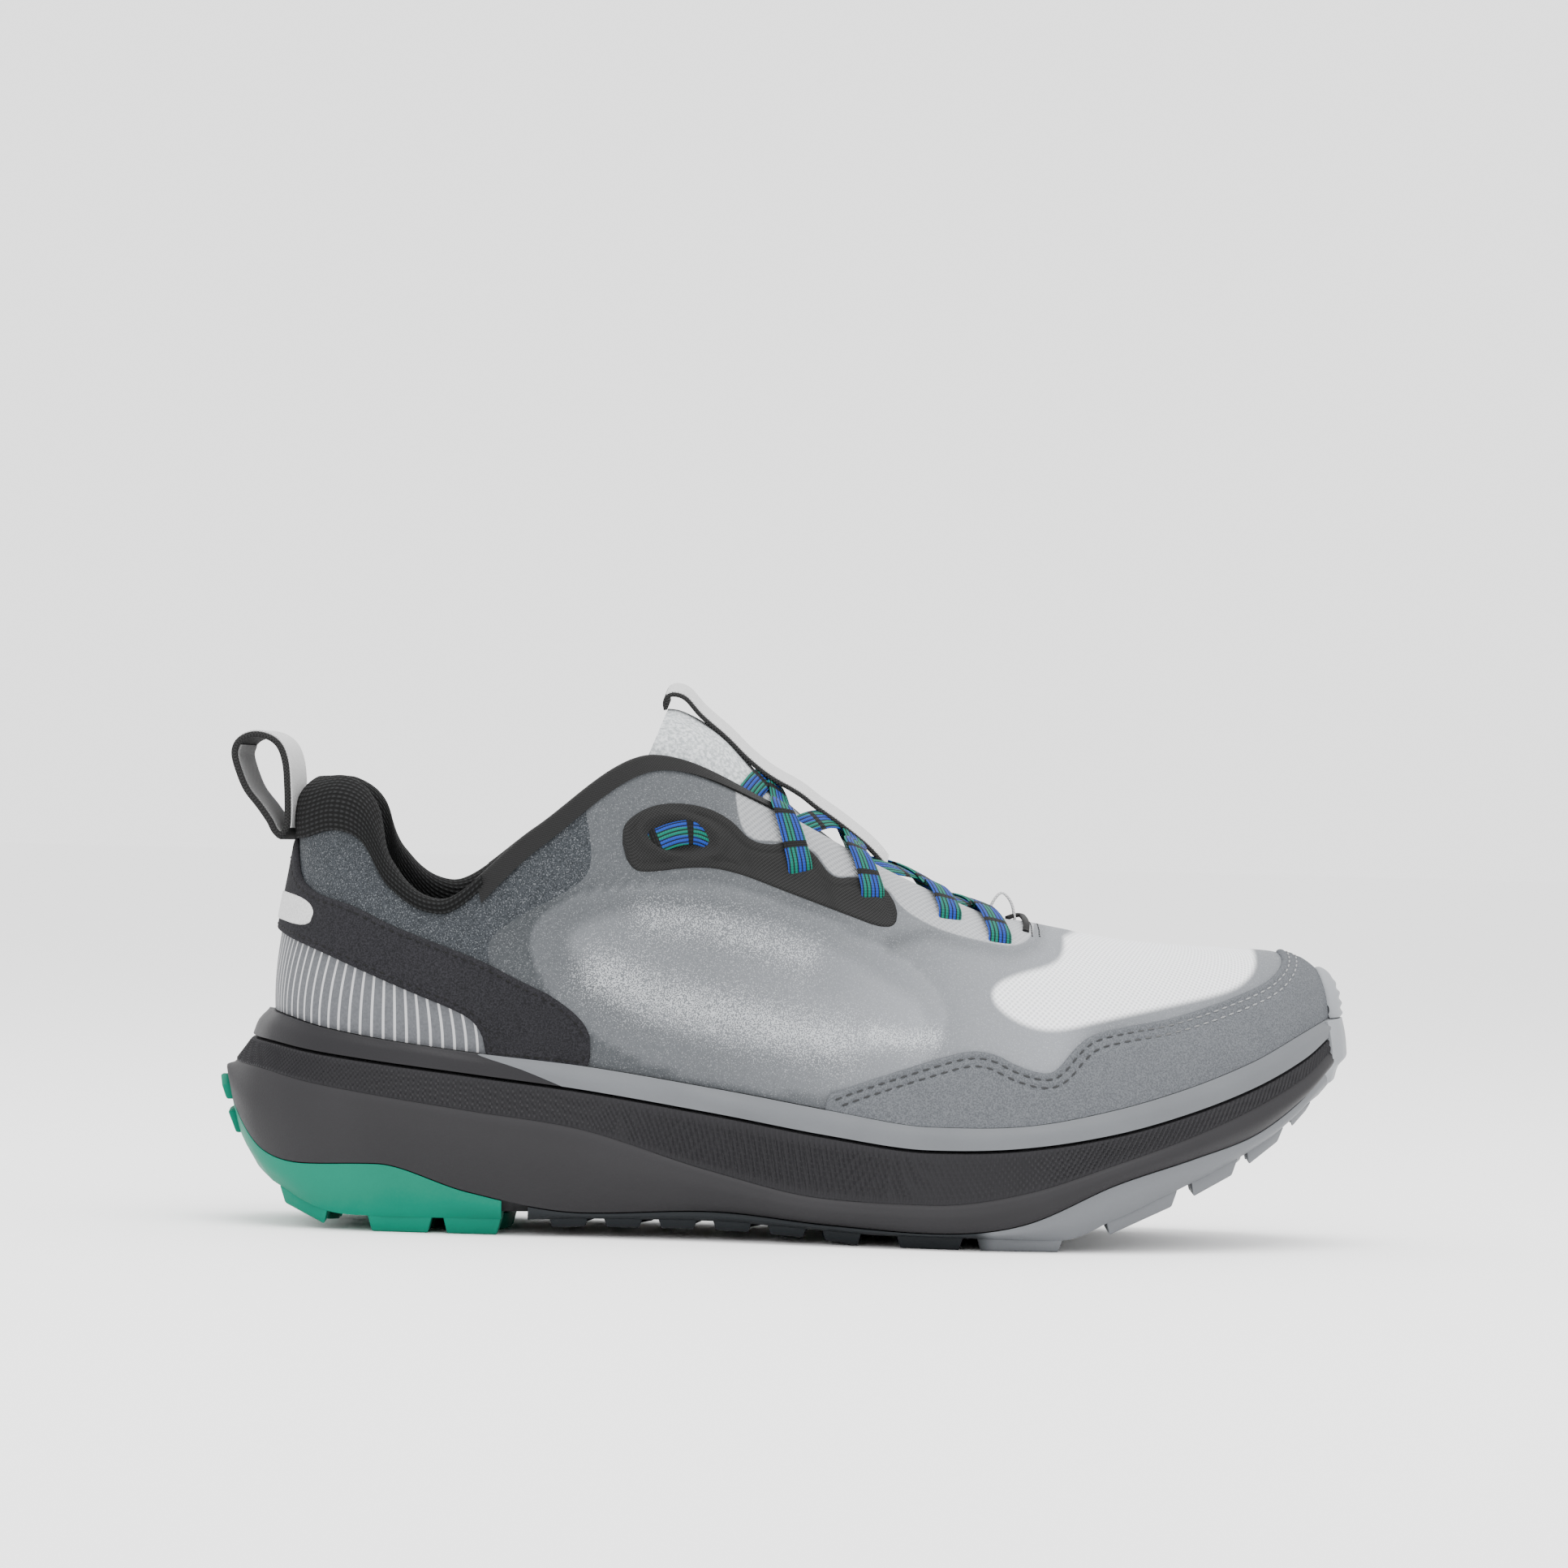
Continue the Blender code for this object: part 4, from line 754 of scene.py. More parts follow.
class Finish:
    """A material with a Principled shader."""

    def __init__(self, name, rough):
        self.material = bpy.data.materials.new(name)
        self.material.use_nodes = True
        self.tree = self.material.node_tree
        self.shader = self.tree.nodes["Principled BSDF"]
        self.shader.inputs["Roughness"].default_value = rough
        self.shader.inputs["Specular IOR Level"].default_value = 0.12

    def add(self, kind, settings=None, inputs=None, output=0):
        node = self.tree.nodes.new(kind)
        for key, value in (settings or {}).items():
            setattr(node, key, value)
        for key, value in (inputs or {}).items():
            self.feed(node.inputs[key], value)
        return Signal(self, node.outputs[output])

    def feed(self, socket, value):
        if isinstance(value, Signal):
            self.tree.links.new(value.socket, socket)
        elif isinstance(value, tuple) and len(value) == 3 and socket.type == "RGBA":
            socket.default_value = (*value, 1.0)
        else:
            socket.default_value = value

    def color(self, value):
        self.feed(self.shader.inputs["Base Color"], value)
        return self

    def rough(self, value):
        self.feed(self.shader.inputs["Roughness"], value)
        return self

    def axes(self, output):
        """The three parts of a place, in metres: on the piece's own map or in the object."""
        place = self.add("ShaderNodeTexCoord", output=output)
        split = self.add("ShaderNodeSeparateXYZ", None, {0: place})
        return [Signal(self, socket) for socket in split.socket.node.outputs]

    def noise(self, size, detail=2.0, rough=0.5):
        """Soft noise whose spots are about this wide, in metres."""
        place = self.add("ShaderNodeTexCoord", output=IN_OBJECT)
        inputs = {"Vector": place, "Scale": 1 / size, "Detail": detail, "Roughness": rough}
        return self.add("ShaderNodeTexNoise", None, inputs)

    def kept(self, name):
        return self.add("ShaderNodeAttribute", {"attribute_name": name}, None, 2)

    def mix(self, share, first, second):
        return self.add("ShaderNodeMix", {"data_type": "RGBA"}, {0: share, 6: first, 7: second}, 2)

    def bump(self, height, depth):
        normal = self.add("ShaderNodeBump", None, {"Height": height, "Distance": depth, "Strength": 1.0})
        self.feed(self.shader.inputs["Normal"], normal)
        return self


def grey(value, cool=0.0):
    return (value * (1 - cool), value, value * (1 + cool))


def speckled(name, base, light, size, rough, depth):
    """Cloth or nap whose small spots vary between two colours."""
    finish = Finish(name, rough)
    spots = finish.noise(size, 3.0, 0.6)
    patches = finish.noise(size * 30, 2.0)
    finish.color(finish.mix(spots.between(0.35, 0.68) * 0.8 + patches * 0.2, base, light))
    return finish.bump(spots, depth)


def moulded(name, base, rough):
    """Foam or rubber with a fine moulded grain and a faint change of tone."""
    finish = Finish(name, rough)
    fine = finish.noise(0.0006, 2.0)
    broad = finish.noise(0.03, 3.0)
    darker = tuple(0.82 * part for part in base)
    finish.color(finish.mix(broad.between(0.3, 0.7) * 0.5 + fine * 0.3, darker, base))
    finish.rough(fine * 0.12 + (rough - 0.06))
    return finish.bump(fine, 0.00004)


def knit_finish():
    finish = Finish("ribbed_knit", 0.88)
    along, up, _ = finish.axes(ON_MAP)
    ribs = (up * (math.tau / 0.00125)).wave()
    rows = (along * (math.tau / 0.0014) + ribs * 0.7).wave()
    loops = (ribs * 0.5 + 0.5) * (rows * 0.35 + 0.65)
    finish.color(finish.mix(loops.between(0.1, 0.9), grey(0.004), grey(0.020, 0.03)))
    return finish.bump(loops, 0.0004)


def weave_finish(name, dark, light, pitch, rough=0.8, depth=0.0002):
    """Plain weave in the piece's own map."""
    finish = Finish(name, rough)
    along, up, _ = finish.axes(ON_MAP)
    threads = (along * (math.tau / pitch)).wave() * (up * (math.tau / pitch)).wave()
    fibre = finish.noise(pitch * 0.4)
    finish.color(finish.mix(threads.between(-0.6, 0.8) * 0.7 + fibre * 0.3, dark, light))
    return finish.bump(threads * 0.5 + fibre * 0.3, depth)


def lace_finish():
    """Lengthwise blue, green and black stripes, with a dark band across every few millimetres."""
    finish = Finish("striped_lace", 0.6)
    along, across, _ = finish.axes(ON_MAP)
    stripe = (across * (math.tau / 0.0011)).wave()
    group = (across * (math.tau / 0.0044) + along * (math.tau / 0.045)).wave()
    band = along.wrap(0.0105).between(0.0084, 0.0087)
    body = finish.mix(group.between(-0.25, 0.25), (0.008, 0.040, 0.26), (0.002, 0.12, 0.085))
    dark = (1 - stripe.between(-0.75, -0.35)).most(band)
    finish.color(finish.mix(dark, body, grey(0.005)))
    beads = (along * (math.tau / 0.0007)).wave() * 0.25 + stripe * 0.5
    return finish.bump(beads, 0.00025)


def upper_finish():
    """Film and mesh of the upper, with painted glints on the film. Each zone is marked by its distance kept
    on the mesh.
    """
    finish = Finish("upper_cloth", 0.55)
    along, up, _ = finish.axes(ON_MAP)
    fine = finish.noise(0.0007, 2.0, 0.6)
    spark = finish.noise(0.00032, 1.0)
    slanted = up * (math.tau / 0.0016) + along * (math.tau / 0.010)
    rows = slanted.wave() * (along * (math.tau / 0.0015)).wave()
    film = finish.mix(finish.kept("tone") + (fine - 0.5) * 0.12, FILM_DARK, FILM_LIGHT)
    cloth = finish.mix((fine * 0.4 + spark * 0.6).between(0.3, 0.7), REAR_DARK, REAR_LIGHT)
    mesh = finish.mix(rows.between(-0.3, 0.7) * 0.6 + fine * 0.3, MESH_LIGHT, MESH_DARK)
    pins = along.wrap(0.00265).between(0.0020, 0.0021)
    lines = finish.mix(pins, finish.mix(fine, PANEL_DARK, PANEL_LIGHT), PIN)
    window = finish.kept("window").between(-0.0015, 0.0006)
    rear, heel, collar, throat = (
        finish.kept(name).between(-soft, soft)
        for name, soft in (("rear", 0.0001), ("pinstripe", 0.0001), ("collar", 0.0002), ("throat", 0.0003))
    )
    # Painted glints: small light flecks mixed into the colour, stronger along the glint lines, with less
    # roughness there
    glint_painted = finish.kept("glint_painted")
    painted_glint_share = (spark + glint_painted * 0.16).between(0.58, 0.70)
    shade = finish.mix(window.most(throat * 0.28), film, mesh)
    shade = finish.mix(rear, shade, cloth)
    shade = finish.mix(painted_glint_share * (0.12 + glint_painted * 0.42), shade, GLINT_PAINT)
    shade = finish.mix(heel, shade, lines)
    shade = finish.mix(collar, shade, grey(0.008))
    finish.color(finish.mix(finish.kept("lining"), shade, grey(0.010)))
    finish.rough(0.60 - painted_glint_share * 0.25 + window * 0.2)
    relief = fine * 0.3 + rows * window.most(throat) * 0.5 + spark * glint_painted * 0.5
    return finish.bump(relief, 0.00025)


def make_finishes():
    tread = moulded("grey_tread", TREAD_LIGHT, 0.5)
    x = tread.axes(IN_OBJECT)[0]
    # Painted shade: the grey rubber is drawn dark up to 50 mm ahead of the middle, where it lies under the
    # sole, and keeps its light grey where it turns up the toe
    tread.color(tread.mix(x.between(0.050, 0.056), TREAD_PAINTED_SHADE, TREAD_LIGHT))
    thread = Finish("guard_thread", 0.7)
    x = thread.axes(IN_OBJECT)[0]
    thread.color(thread.mix(x.between(0.085, 0.12), grey(0.035, 0.03), grey(0.22, 0.02)))
    return {
        "foam": moulded("charcoal_foam", FOAM, 0.55),
        "foam_band": moulded("charcoal_band", FOAM_BAND, 0.50),
        "foam_rim": moulded("charcoal_rim", FOAM_RIM, 0.45),
        "green": moulded("green_rubber", GREEN, 0.5),
        "light": moulded("grey_rubber", TREAD_LIGHT, 0.5),
        "tread": tread,
        "suede": speckled("grey_suede", SUEDE_DARK, SUEDE_LIGHT, 0.0004, 0.95, 0.0002),
        "nubuck": speckled("black_nubuck", NUBUCK_DARK, NUBUCK_LIGHT, 0.0004, 0.95, 0.00015),
        "pale": speckled("pale_cloth", PALE_DARK, PALE_LIGHT, 0.0009, 0.85, 0.0003),
        "lining": speckled("dark_lining", grey(0.008), grey(0.03), 0.0008, 0.9, 0.0002),
        "thread": thread,
        "dark_thread": speckled("dark_thread", grey(0.004), grey(0.014), 0.0003, 0.7, 0.0001),
        "bumper": moulded("toe_rubber", BUMPER_GREY, 0.5),
        "inner_facing": weave_finish("grey_facing", grey(0.10), grey(0.20), 0.0008),
        "silver": speckled("silver_film", grey(0.42), grey(0.60), 0.0005, 0.45, 0.0001),
        "knit": knit_finish(),
        "weave": weave_finish("dark_weave", grey(0.008), grey(0.026), 0.0009),
        "tape": weave_finish("dark_tape", grey(0.006), grey(0.018), 0.0006, 0.6, 0.0001),
        "strap": weave_finish("dark_strap", grey(0.007), grey(0.03), 0.0009),
        "facing": weave_finish("light_facing", grey(0.40), grey(0.66), 0.0008),
        "lace": lace_finish(),
        "upper": upper_finish(),
    }


def make_camera():
    data = bpy.data.cameras.new("camera")
    camera = bpy.data.objects.new("camera", data)
    bpy.context.scene.collection.objects.link(camera)
    target = Vector((AIM_X, AIM_Y, AIM_Z))
    tilt = math.radians(CAMERA_ELEVATION)
    camera.location = target + CAMERA_DISTANCE * Vector((0.0, -math.cos(tilt), math.sin(tilt)))
    facing = (target - camera.location).to_track_quat("-Z", "Y")
    camera.rotation_mode = "QUATERNION"
    camera.rotation_quaternion = facing @ Quaternion((0.0, 0.0, 1.0), math.radians(CAMERA_ROLL))
    data.sensor_width = 36.0
    data.lens = 36.0 * CAMERA_DISTANCE / FRAME_WIDTH
    bpy.context.scene.camera = camera


def area_light(name, place, target, size, power):
    data = bpy.data.lights.new(name, "AREA")
    data.shape = "DISK"
    data.size = size
    data.energy = power
    light = bpy.data.objects.new(name, data)
    bpy.context.scene.collection.objects.link(light)
    light.location = place
    light.rotation_euler = (Vector(target) - Vector(place)).to_track_quat("-Z", "Y").to_euler()


def make_studio():
    """Pale floor and sky, with a wide soft light above and a weaker one in front."""
    bpy.ops.mesh.primitive_plane_add(size=30.0, location=(0.0, 0.0, 0.0))
    floor = bpy.context.object
    floor.name = "floor"
    finish = Finish("pale_floor", 0.9)
    finish.color((0.97, 0.97, 0.97))
    floor.data.materials.append(finish.material)
    world = bpy.data.worlds.new("studio")
    bpy.context.scene.world = world
    world.use_nodes = True
    world.node_tree.nodes["Background"].inputs[0].default_value = (1.0, 1.0, 1.0, 1.0)
    world.node_tree.nodes["Background"].inputs[1].default_value = SKY
    area_light("top_light", (0.1, -0.3, 1.6), (0.0, 0.0, 0.05), 1.2, TOP_LIGHT)
    area_light("front_light", (-0.5, -1.8, 0.7), (0.0, 0.0, 0.05), 1.0, FRONT_LIGHT)


def both_sides(profile, count, start, end):
    return [np.stack(profile(spread(start, end, count, side), side), 1) for side in (-1, 1)]


def along_sides(profile, count, start=0.0, end=LAST):
    """Sections round the shoe as [column, point], through the heel or, from a later start, the toe."""
    outer, inner = both_sides(profile, count, start, end)
    if start:
        return np.concatenate((outer, inner[::-1][1:]))
    return np.concatenate((outer[::-1], inner[1:]))


def from_side_to_side(profile, count, start=0.0, end=LAST):
    """Sections that run down one side, across and up the other."""
    outer, inner = both_sides(profile, count, start, end)
    return np.concatenate((outer, inner[:, ::-1]), axis=1)


def midsole_wall(place, side):
    """Foam from the groove below the rim down to the rubber, then in below the foot and up."""
    rim, low, band = wide("rim_in", place), tall("rim_low", place), tall("band", place)
    foam, foam_in = tall("foam", place) + GAP, wide("foam_in", place)
    foot, edge = RIM_FOOT * rim, BAND_FOOT * rim
    bed, top, band_low = at(
        place, side, (rim + RIM_SHELF + BED_WALL, low - wide("bed", place)),
        (foot + BAND_STEP / 2, low - GROOVE / 2), (edge + BAND_STEP, band + BAND_STEP),
    )
    wall = at(
        place, side, (edge, band), (0.0, 0.6 * band + 0.4 * foam),
        (0.4 * foam_in, 0.25 * band + 0.75 * foam), (foam_in, foam),
    )
    return [
        bed,
        *at(place, side, (rim + RIM_SHELF, low), (foot + GROOVE_DEPTH, low)),
        top,
        *through([top, (top + band_low) / 2, band_low], 3)[1:-1],
        band_low,
        *through(wall, 4),
        plan(place, side, foam_in + RUBBER_WALL, foam),
        on_base(place, side, wide("base_in", place) + RUBBER_WALL, RUBBER * 0.8),
    ]


def make_midsole():
    """The foam, then the hatched band that lies on its upper wall."""
    done(tube("midsole_foam", from_side_to_side(midsole_wall, 330)), "foam", "foam", "midsole")
    done(tube("midsole_band", along_sides(band_rows, 1300)), "foam_band", "foam")


def band_rows(place, side):
    """The band's face with its slanted ribs, and its back inside the foam."""
    band = tall("band", place)
    high, low = tall("rim_low", place) - GROOVE / 2, band + BAND_STEP
    foot, edge = RIM_FOOT * wide("rim_in", place), BAND_FOOT * wide("rim_in", place)
    flat = outline(place, side)
    pitch = np.interp(flat[:, 0], *RIB_PITCH)
    lengths = np.linalg.norm(np.diff(flat, axis=0), axis=1)
    turns = np.concatenate(([0.0], np.cumsum(lengths / pitch[1:])))
    depth = RIB_DEPTH * np.interp(flat[:, 0], *RIB_SHARE)
    rows = []
    for part in np.linspace(0.0, 1.0, 12):
        height = high + (low - high) * part
        inset = (foot + BAND_STEP / 2) * (1 - part) + (edge + BAND_STEP) * part
        ribs = 0.5 - 0.5 * np.cos(math.tau * (turns - (height - band) / pitch * RIB_SLANT))
        fade = ease(part, 0.02, 0.12) * (1 - ease(part, 0.90, 0.99))
        rows.append((inset - BAND_RAISE * (0.35 + 0.65 * fade) + depth * ribs * fade, height))
    return at(place, side, *rows, (edge + 0.0035, low), (foot + 0.0025, high))


def rim_section(place, side, ahead, ahead_top):
    """Rim between its foot on the foam and its top, at places that may run apart to slant its ends."""
    low, top = tall("rim_low", ahead), tall("rim_top", ahead_top)
    foot, rim = RIM_FOOT * wide("rim_in", ahead), wide("rim_in", ahead_top)
    lip, shoulder = low + 0.4 * GROOVE, rim + BAND_STEP / 2
    middle = (plan(ahead, side, foot, low + GROOVE) + plan(ahead_top, side, shoulder, top)) / 2
    face = [
        plan(ahead, side, foot, lip),
        middle + leaving(place, side) * RIM_BULGE,
        *at(ahead_top, side, (shoulder, top - 0.0004), (rim + BAND_STEP, top + 0.0002)),
    ]
    return [
        *at(
            ahead, side, (wide("rim_in", ahead) + RIM_SHELF, low + GAP), (foot + GROOVE_DEPTH, low + GAP),
            (foot + GROOVE_DEPTH - GAP, lip),
        ),
        *through(face, 3),
        *at(ahead_top, side, (rim + FEATHER_INSET * 0.7, top + 0.0001), (rim + RIM_SHELF, top)),
    ]


def make_rims():
    def behind(place, side):
        return rim_section(place, side, place + RIM_SLANT * place / RIM_BREAK, place)

    def before(place, side):
        return rim_section(place, side, place + RIM_SLANT * (LAST - place) / (LAST - RIM_BREAK), place)

    heel = tube("rim_behind", along_sides(behind, 150, 0.0, RIM_BREAK))
    done(heel, "foam_rim", "foam", "rim_heel")
    front = tube("rim_before", along_sides(before, 260, RIM_BREAK + 0.01))
    done(front, "light", "tread_rubber", "rim_front")


def insole_rows(place, side):
    bed = tall("rim_low", place) - wide("bed", place) + GAP
    foot = wide("rim_in", place) + RIM_SHELF + BED_WALL + GAP
    return at(
        place, side, (foot + 0.25 * INSOLE_THICKNESS, bed), (foot, bed + 0.6 * INSOLE_THICKNESS),
        (foot + 0.3 * INSOLE_EDGE, bed + INSOLE_THICKNESS),
        (foot + INSOLE_EDGE, bed + 0.93 * INSOLE_THICKNESS),
        (foot + 3 * INSOLE_EDGE, bed + 0.85 * INSOLE_THICKNESS),
    )


def outsole_rows(place, side):
    foam, foam_in, base_in = tall("foam", place), wide("foam_in", place), wide("base_in", place)
    low, high = on_base(place, side, base_in, 0.0), plan(place, side, foam_in, foam)
    bulge = (low + high) / 2 + leaving(place, side) * RUBBER_BULGE
    room = np.minimum(RUBBER, 0.6 * (foam - low[:, 2]))
    return [
        low,
        *through([low, bulge, high], 4)[1:],
        plan(place, side, foam_in + RUBBER_WALL - GAP, foam),
        on_base(place, side, base_in + RUBBER_WALL - GAP, room),
    ]


def toe_wrap_rows(place, side):
    """Thin rubber over the sole's tip, from the tread up to the rim, that fades out on both sides."""
    rim, foam_in = wide("rim_in", place), wide("foam_in", place)
    low, band, top = (tall(name, place) for name in ("foam", "band", "rim_top"))
    lift = TOE_WRAP * ease(place, *TOE_WRAP_FADE)
    rows = [
        (foam_in + 0.001, low - 0.0035), (foam_in, low), (0.1 * foam_in, 0.5 * (low + band)),
        (0.1 * rim, band), (0.4 * rim, 0.5 * (band + top)), (rim, top),
    ]
    face = at(place, side, *((inset - lift, height) for inset, height in rows))
    back = at(place, side, *((inset + 0.002, height) for inset, height in rows[::-1]))
    return [*through(face, 3), *back]


def edge_at(x, side):
    """Distance across to the underside's edge at this place along the shoe."""
    fine = np.linspace(0.0, LAST, 1200)
    edge = plan(fine, side, wide("base_in", fine), 0.0)
    order = np.argsort(edge[:, 0])
    return float(np.interp(x, edge[order, 0], edge[order, 1]))


def across(x, side, share):
    """Point of the plan at this share of the way from the underside's middle to one edge."""
    near, far = edge_at(x, -side), edge_at(x, side)
    return x, (near + far) / 2 + share * (far - near) / 2


def block(root, tip):
    """Cube primitive between four root corners and four tip corners."""
    bpy.ops.mesh.primitive_cube_add(size=2)
    obj = bpy.context.object
    for vertex in obj.data.vertices:
        x, y, z = vertex.co
        corner = {(-1, -1): 0, (1, -1): 1, (1, 1): 2, (-1, 1): 3}[(round(x), round(y))]
        vertex.co = root[corner] if z > 0 else tip[corner]
    return obj


def lug(corners):
    middle = np.mean(corners, axis=0)
    root, tip = [], []
    for point in np.array(corners):
        away = (point - middle) / np.linalg.norm(point - middle)
        root.append((*(point + away * 0.0006), float(ground("base", point[0])) + LUG_ROOT))
        x, y = point - away * LUG_TAPER
        tip.append((x, y, float(ground("tread", x))))
    return block(root, tip)


def lug_row(start, length, row):
    """An outer and an inner lug on both sides."""
    end = start + length
    lean = (0.35 if row % 2 else 0.18) * length
    return [
        lug([across(x, side, share) for x, share in corners])
        for side in (-1, 1)
        for corners in (
            ((start, 0.56), (end, 0.60), (end, 0.99), (start, 0.99)),
            ((start + lean, 0.10), (end + lean, 0.10), (end, 0.46), (start, 0.46)),
        )
    ]


def tread(rows):
    """Lugs in rows, each with its start and length as shares of LENGTH."""
    return [
        piece
        for row, (start, length) in enumerate(rows)
        for piece in lug_row(LENGTH * (start - 0.5), LENGTH * length, row)
    ]


def back_face(place, side, share, lift):
    """Point of the rubber behind the heel at this share of SOLE_HEIGHT, lifted off its face."""
    top = plan(place, side, wide("foam_in", place), tall("foam", place))
    low = on_base(place, side, wide("base_in", place), 0.0)
    part = (top[2] - SOLE_HEIGHT * share) / (top[2] - low[2])
    return tuple(top + (low - top) * part + leaving(place, side) * lift)


def heel_back_lugs():
    lugs = []
    near = BACK_LUG_START
    for low, high, far, rise in BACK_LUGS:
        corners = ((near, low + rise), (near, high + rise), (far, high), (far, low))
        for side in (-1, 1):
            root, tip = (
                [back_face(place, side, share, lift) for place, share in corners]
                for lift in (-2 * LUG_ROOT, BACK_LUG - 0.0003)
            )
            lugs.append(block(root, tip))
    return lugs


def make_outsole(name, start, end, count, lugs, *look):
    plate = tube(f"{name}_plate", from_side_to_side(outsole_rows, count, start, end))
    lugs = join(f"{name}_lugs", lugs)
    edit(lugs, FACE_OUT)
    soften(plate, 0.0004)
    soften(lugs, 0.0005)
    done(join(f"{name}_tread", [plate, lugs]), *look)


def make_outsoles():
    lugs = tread(HEEL_LUGS) + heel_back_lugs()
    make_outsole("heel", 0.0, TREAD_BREAK - TREAD_GAP, 160, lugs, "green", "heel_rubber", "outsole_heel")
    lugs = tread([(start, 0.032) for start in np.linspace(0.300, 0.5375, 6)] + FRONT_LUGS)
    start = TREAD_BREAK + TREAD_GAP
    make_outsole("front", start, LAST, 240, lugs, "tread", "tread_rubber", "outsole_forefoot")
    wrap = tube("toe_wrap", along_sides(toe_wrap_rows, 60, TOE_WRAP_FADE[0]))
    done(wrap, "bumper", "tread_rubber")


def upper_relief(points):
    """Small steps of the film over the cloth below it, in metres along the wall's normal."""
    film = sum(
        high * ease(sign * depth_inside(points, zone[name]), start, end)
        for name, sign, high, start, end in FILM_STEPS
    )
    return film + sum(nearness(points, path, width) * high for path, width, high in EMBOSSING)


def make_upper():
    """Outer face of both sides, merged along heel, toe and ridge, then given its wall."""
    halves = []
    for side in (-1, 1):
        places = spread(0.0, LAST, 330, side)
        shares = np.linspace(0.0, 1.0, 46)
        point, out, _ = wall_frame(places[:, None], side, shares[None, :])
        fade = ease(1.0 - shares, 0.0, 0.08) * ease(shares, 0.0, 0.06)
        lift = upper_relief(point) * fade
        halves.append(sheet("upper_side", point + out * lift[..., None]))
    obj = join("upper_shell", halves)
    edit(obj, MERGE, FACE_OUT)
    outside = len(obj.data.vertices)
    modify(obj, "SOLIDIFY", thickness=WALL, offset=-1.0)
    points = places_of(obj)
    note(obj, "lining", (np.arange(len(points)) >= outside).astype(float))
    for name in ("rear", "window", "pinstripe", "collar", "throat"):
        note(obj, name, depth_inside(points, zone[name]))
    # Where the painted glints lie, kept for the upper's material
    glint_painted = sum(nearness(points, path, width) * high for path, width, high in PAINTED_GLINT_LINES)
    note(obj, "glint_painted", np.clip(glint_painted, 0.0, 1.0))
    x, z = points[:, 0], points[:, 2]
    tone = np.interp(x, (-0.06, -0.02, 0.01, 0.05, 0.10), (0.05, 0.06, 0.15, 0.42, 0.60))
    tone = tone + np.interp(z, (0.045, 0.10), (0.03, -0.05))
    tone = tone + 0.10 * ease(z, 0.084, 0.098) * (1 - ease(x, -0.010, 0.020))
    tone = tone + 0.10 * ease(depth_inside(points, zone["field"]), -0.0002, 0.0006)
    tone = tone + 0.12 * ease(depth_inside(points, zone["inner"]), -0.0010, 0.0030)
    tone = tone - 0.12 * nearness(points, THROAT_BAND, 0.0020) - 0.25 * ease(x, 0.070, 0.085)
    note(obj, "tone", np.clip(tone, 0.0, 1.0))
    done(obj, "upper", "mesh", "upper")


def first_run(depth, shares):
    """On each rib the two shares between which the outline is first entered and left."""
    low, high, found = [], [], []
    for row in depth:
        inside = np.flatnonzero(row > 0)
        if not len(inside):
            found.append(False)
            continue
        start = inside[0]
        outside = np.flatnonzero(row[start:] <= 0)
        end = start + outside[0] - 1 if len(outside) else len(row) - 1
        low.append(crossing(row, shares, start - 1, start) if start else shares[0])
        high.append(crossing(row, shares, end, end + 1) if end + 1 < len(row) else shares[-1])
        found.append(high[-1] - low[-1] > 1e-4)
        if not found[-1]:
            low.pop()
            high.pop()
    return np.array(low), np.array(high), np.array(found)


def crossing(row, shares, a, b):
    return shares[a] + (shares[b] - shares[a]) * row[a] / (row[a] - row[b])


def overlay_side(name, edge, side, span, count, rows, lift, thick, roll, relief):
    """One side's sheet over the upper inside a side outline, rolled down to the wall at its rim."""
    places = spread(*span, count, side)
    shares = np.linspace(0.0, 1.0, 160)
    depth = depth_inside(upper(places[:, None], side, shares[None, :]), zone[edge])
    low, high, found = first_run(depth, shares)
    places = places[found]
    part = (1 - np.cos(np.linspace(0.0, math.pi, rows))) / 2
    share = low[:, None] + (high - low)[:, None] * part[None, :]
    point, out, _ = wall_frame(places[:, None], side, share)
    inside = np.maximum(depth_inside(point, zone[edge]), 0.0)
    edge_fall = np.sqrt(np.maximum(1 - (1 - np.clip(inside / roll, 0.0, 1.0)) ** 2, 0.0))
    height = lift + thick * edge_fall
    if relief:
        height = height + relief(point, inside)
    return sheet(name, point + out * height[..., None])


def overlay(name, edge, sides, *shape):
    obj = join(name, [overlay_side(name, edge, side, *shape) for side in sides])
    edit(obj, MERGE, FACE_OUT)
    aim_out(obj)
    modify(obj, "SOLIDIFY", thickness=0.0004, offset=-1.0)
    return obj


def aim_out(obj):
    """Turns an open sheet's faces away from the shoe's inside."""
    centre = np.array((0.0, 0.0, 0.06))
    points = places_of(obj)
    normals = np.empty(len(obj.data.polygons) * 3)
    centres = np.empty(len(obj.data.polygons) * 3)
    obj.data.polygons.foreach_get("normal", normals)
    obj.data.polygons.foreach_get("center", centres)
    away = centres.reshape(-1, 3) - centre
    away[:, 0] = 0.0 if np.abs(points[:, 1]).min() > 0.01 else away[:, 0]
    if (normals.reshape(-1, 3) * away).sum() < 0:
        edit(obj, (bpy.ops.mesh.flip_normals, {}))


def stitch_path(edge, side, span, inset, top=True):
    """Points and outward directions on the upper, this far inside an outline's upper or lower edge."""
    places = spread(*span, 360, side)
    shares = np.linspace(0.0, 1.0, 200)
    depth = depth_inside(upper(places[:, None], side, shares[None, :]), zone[edge]) - inset
    low, high, found = first_run(depth, shares)
    share = high if top else low
    good = (share < 0.999) & (share > 0.001)
    point, out, _ = wall_frame(places[found][good], side, share[good])
    return point, out


def along_path(at, length_at, rows):
    return np.array([np.interp(at, length_at, rows[:, i]) for i in range(3)])


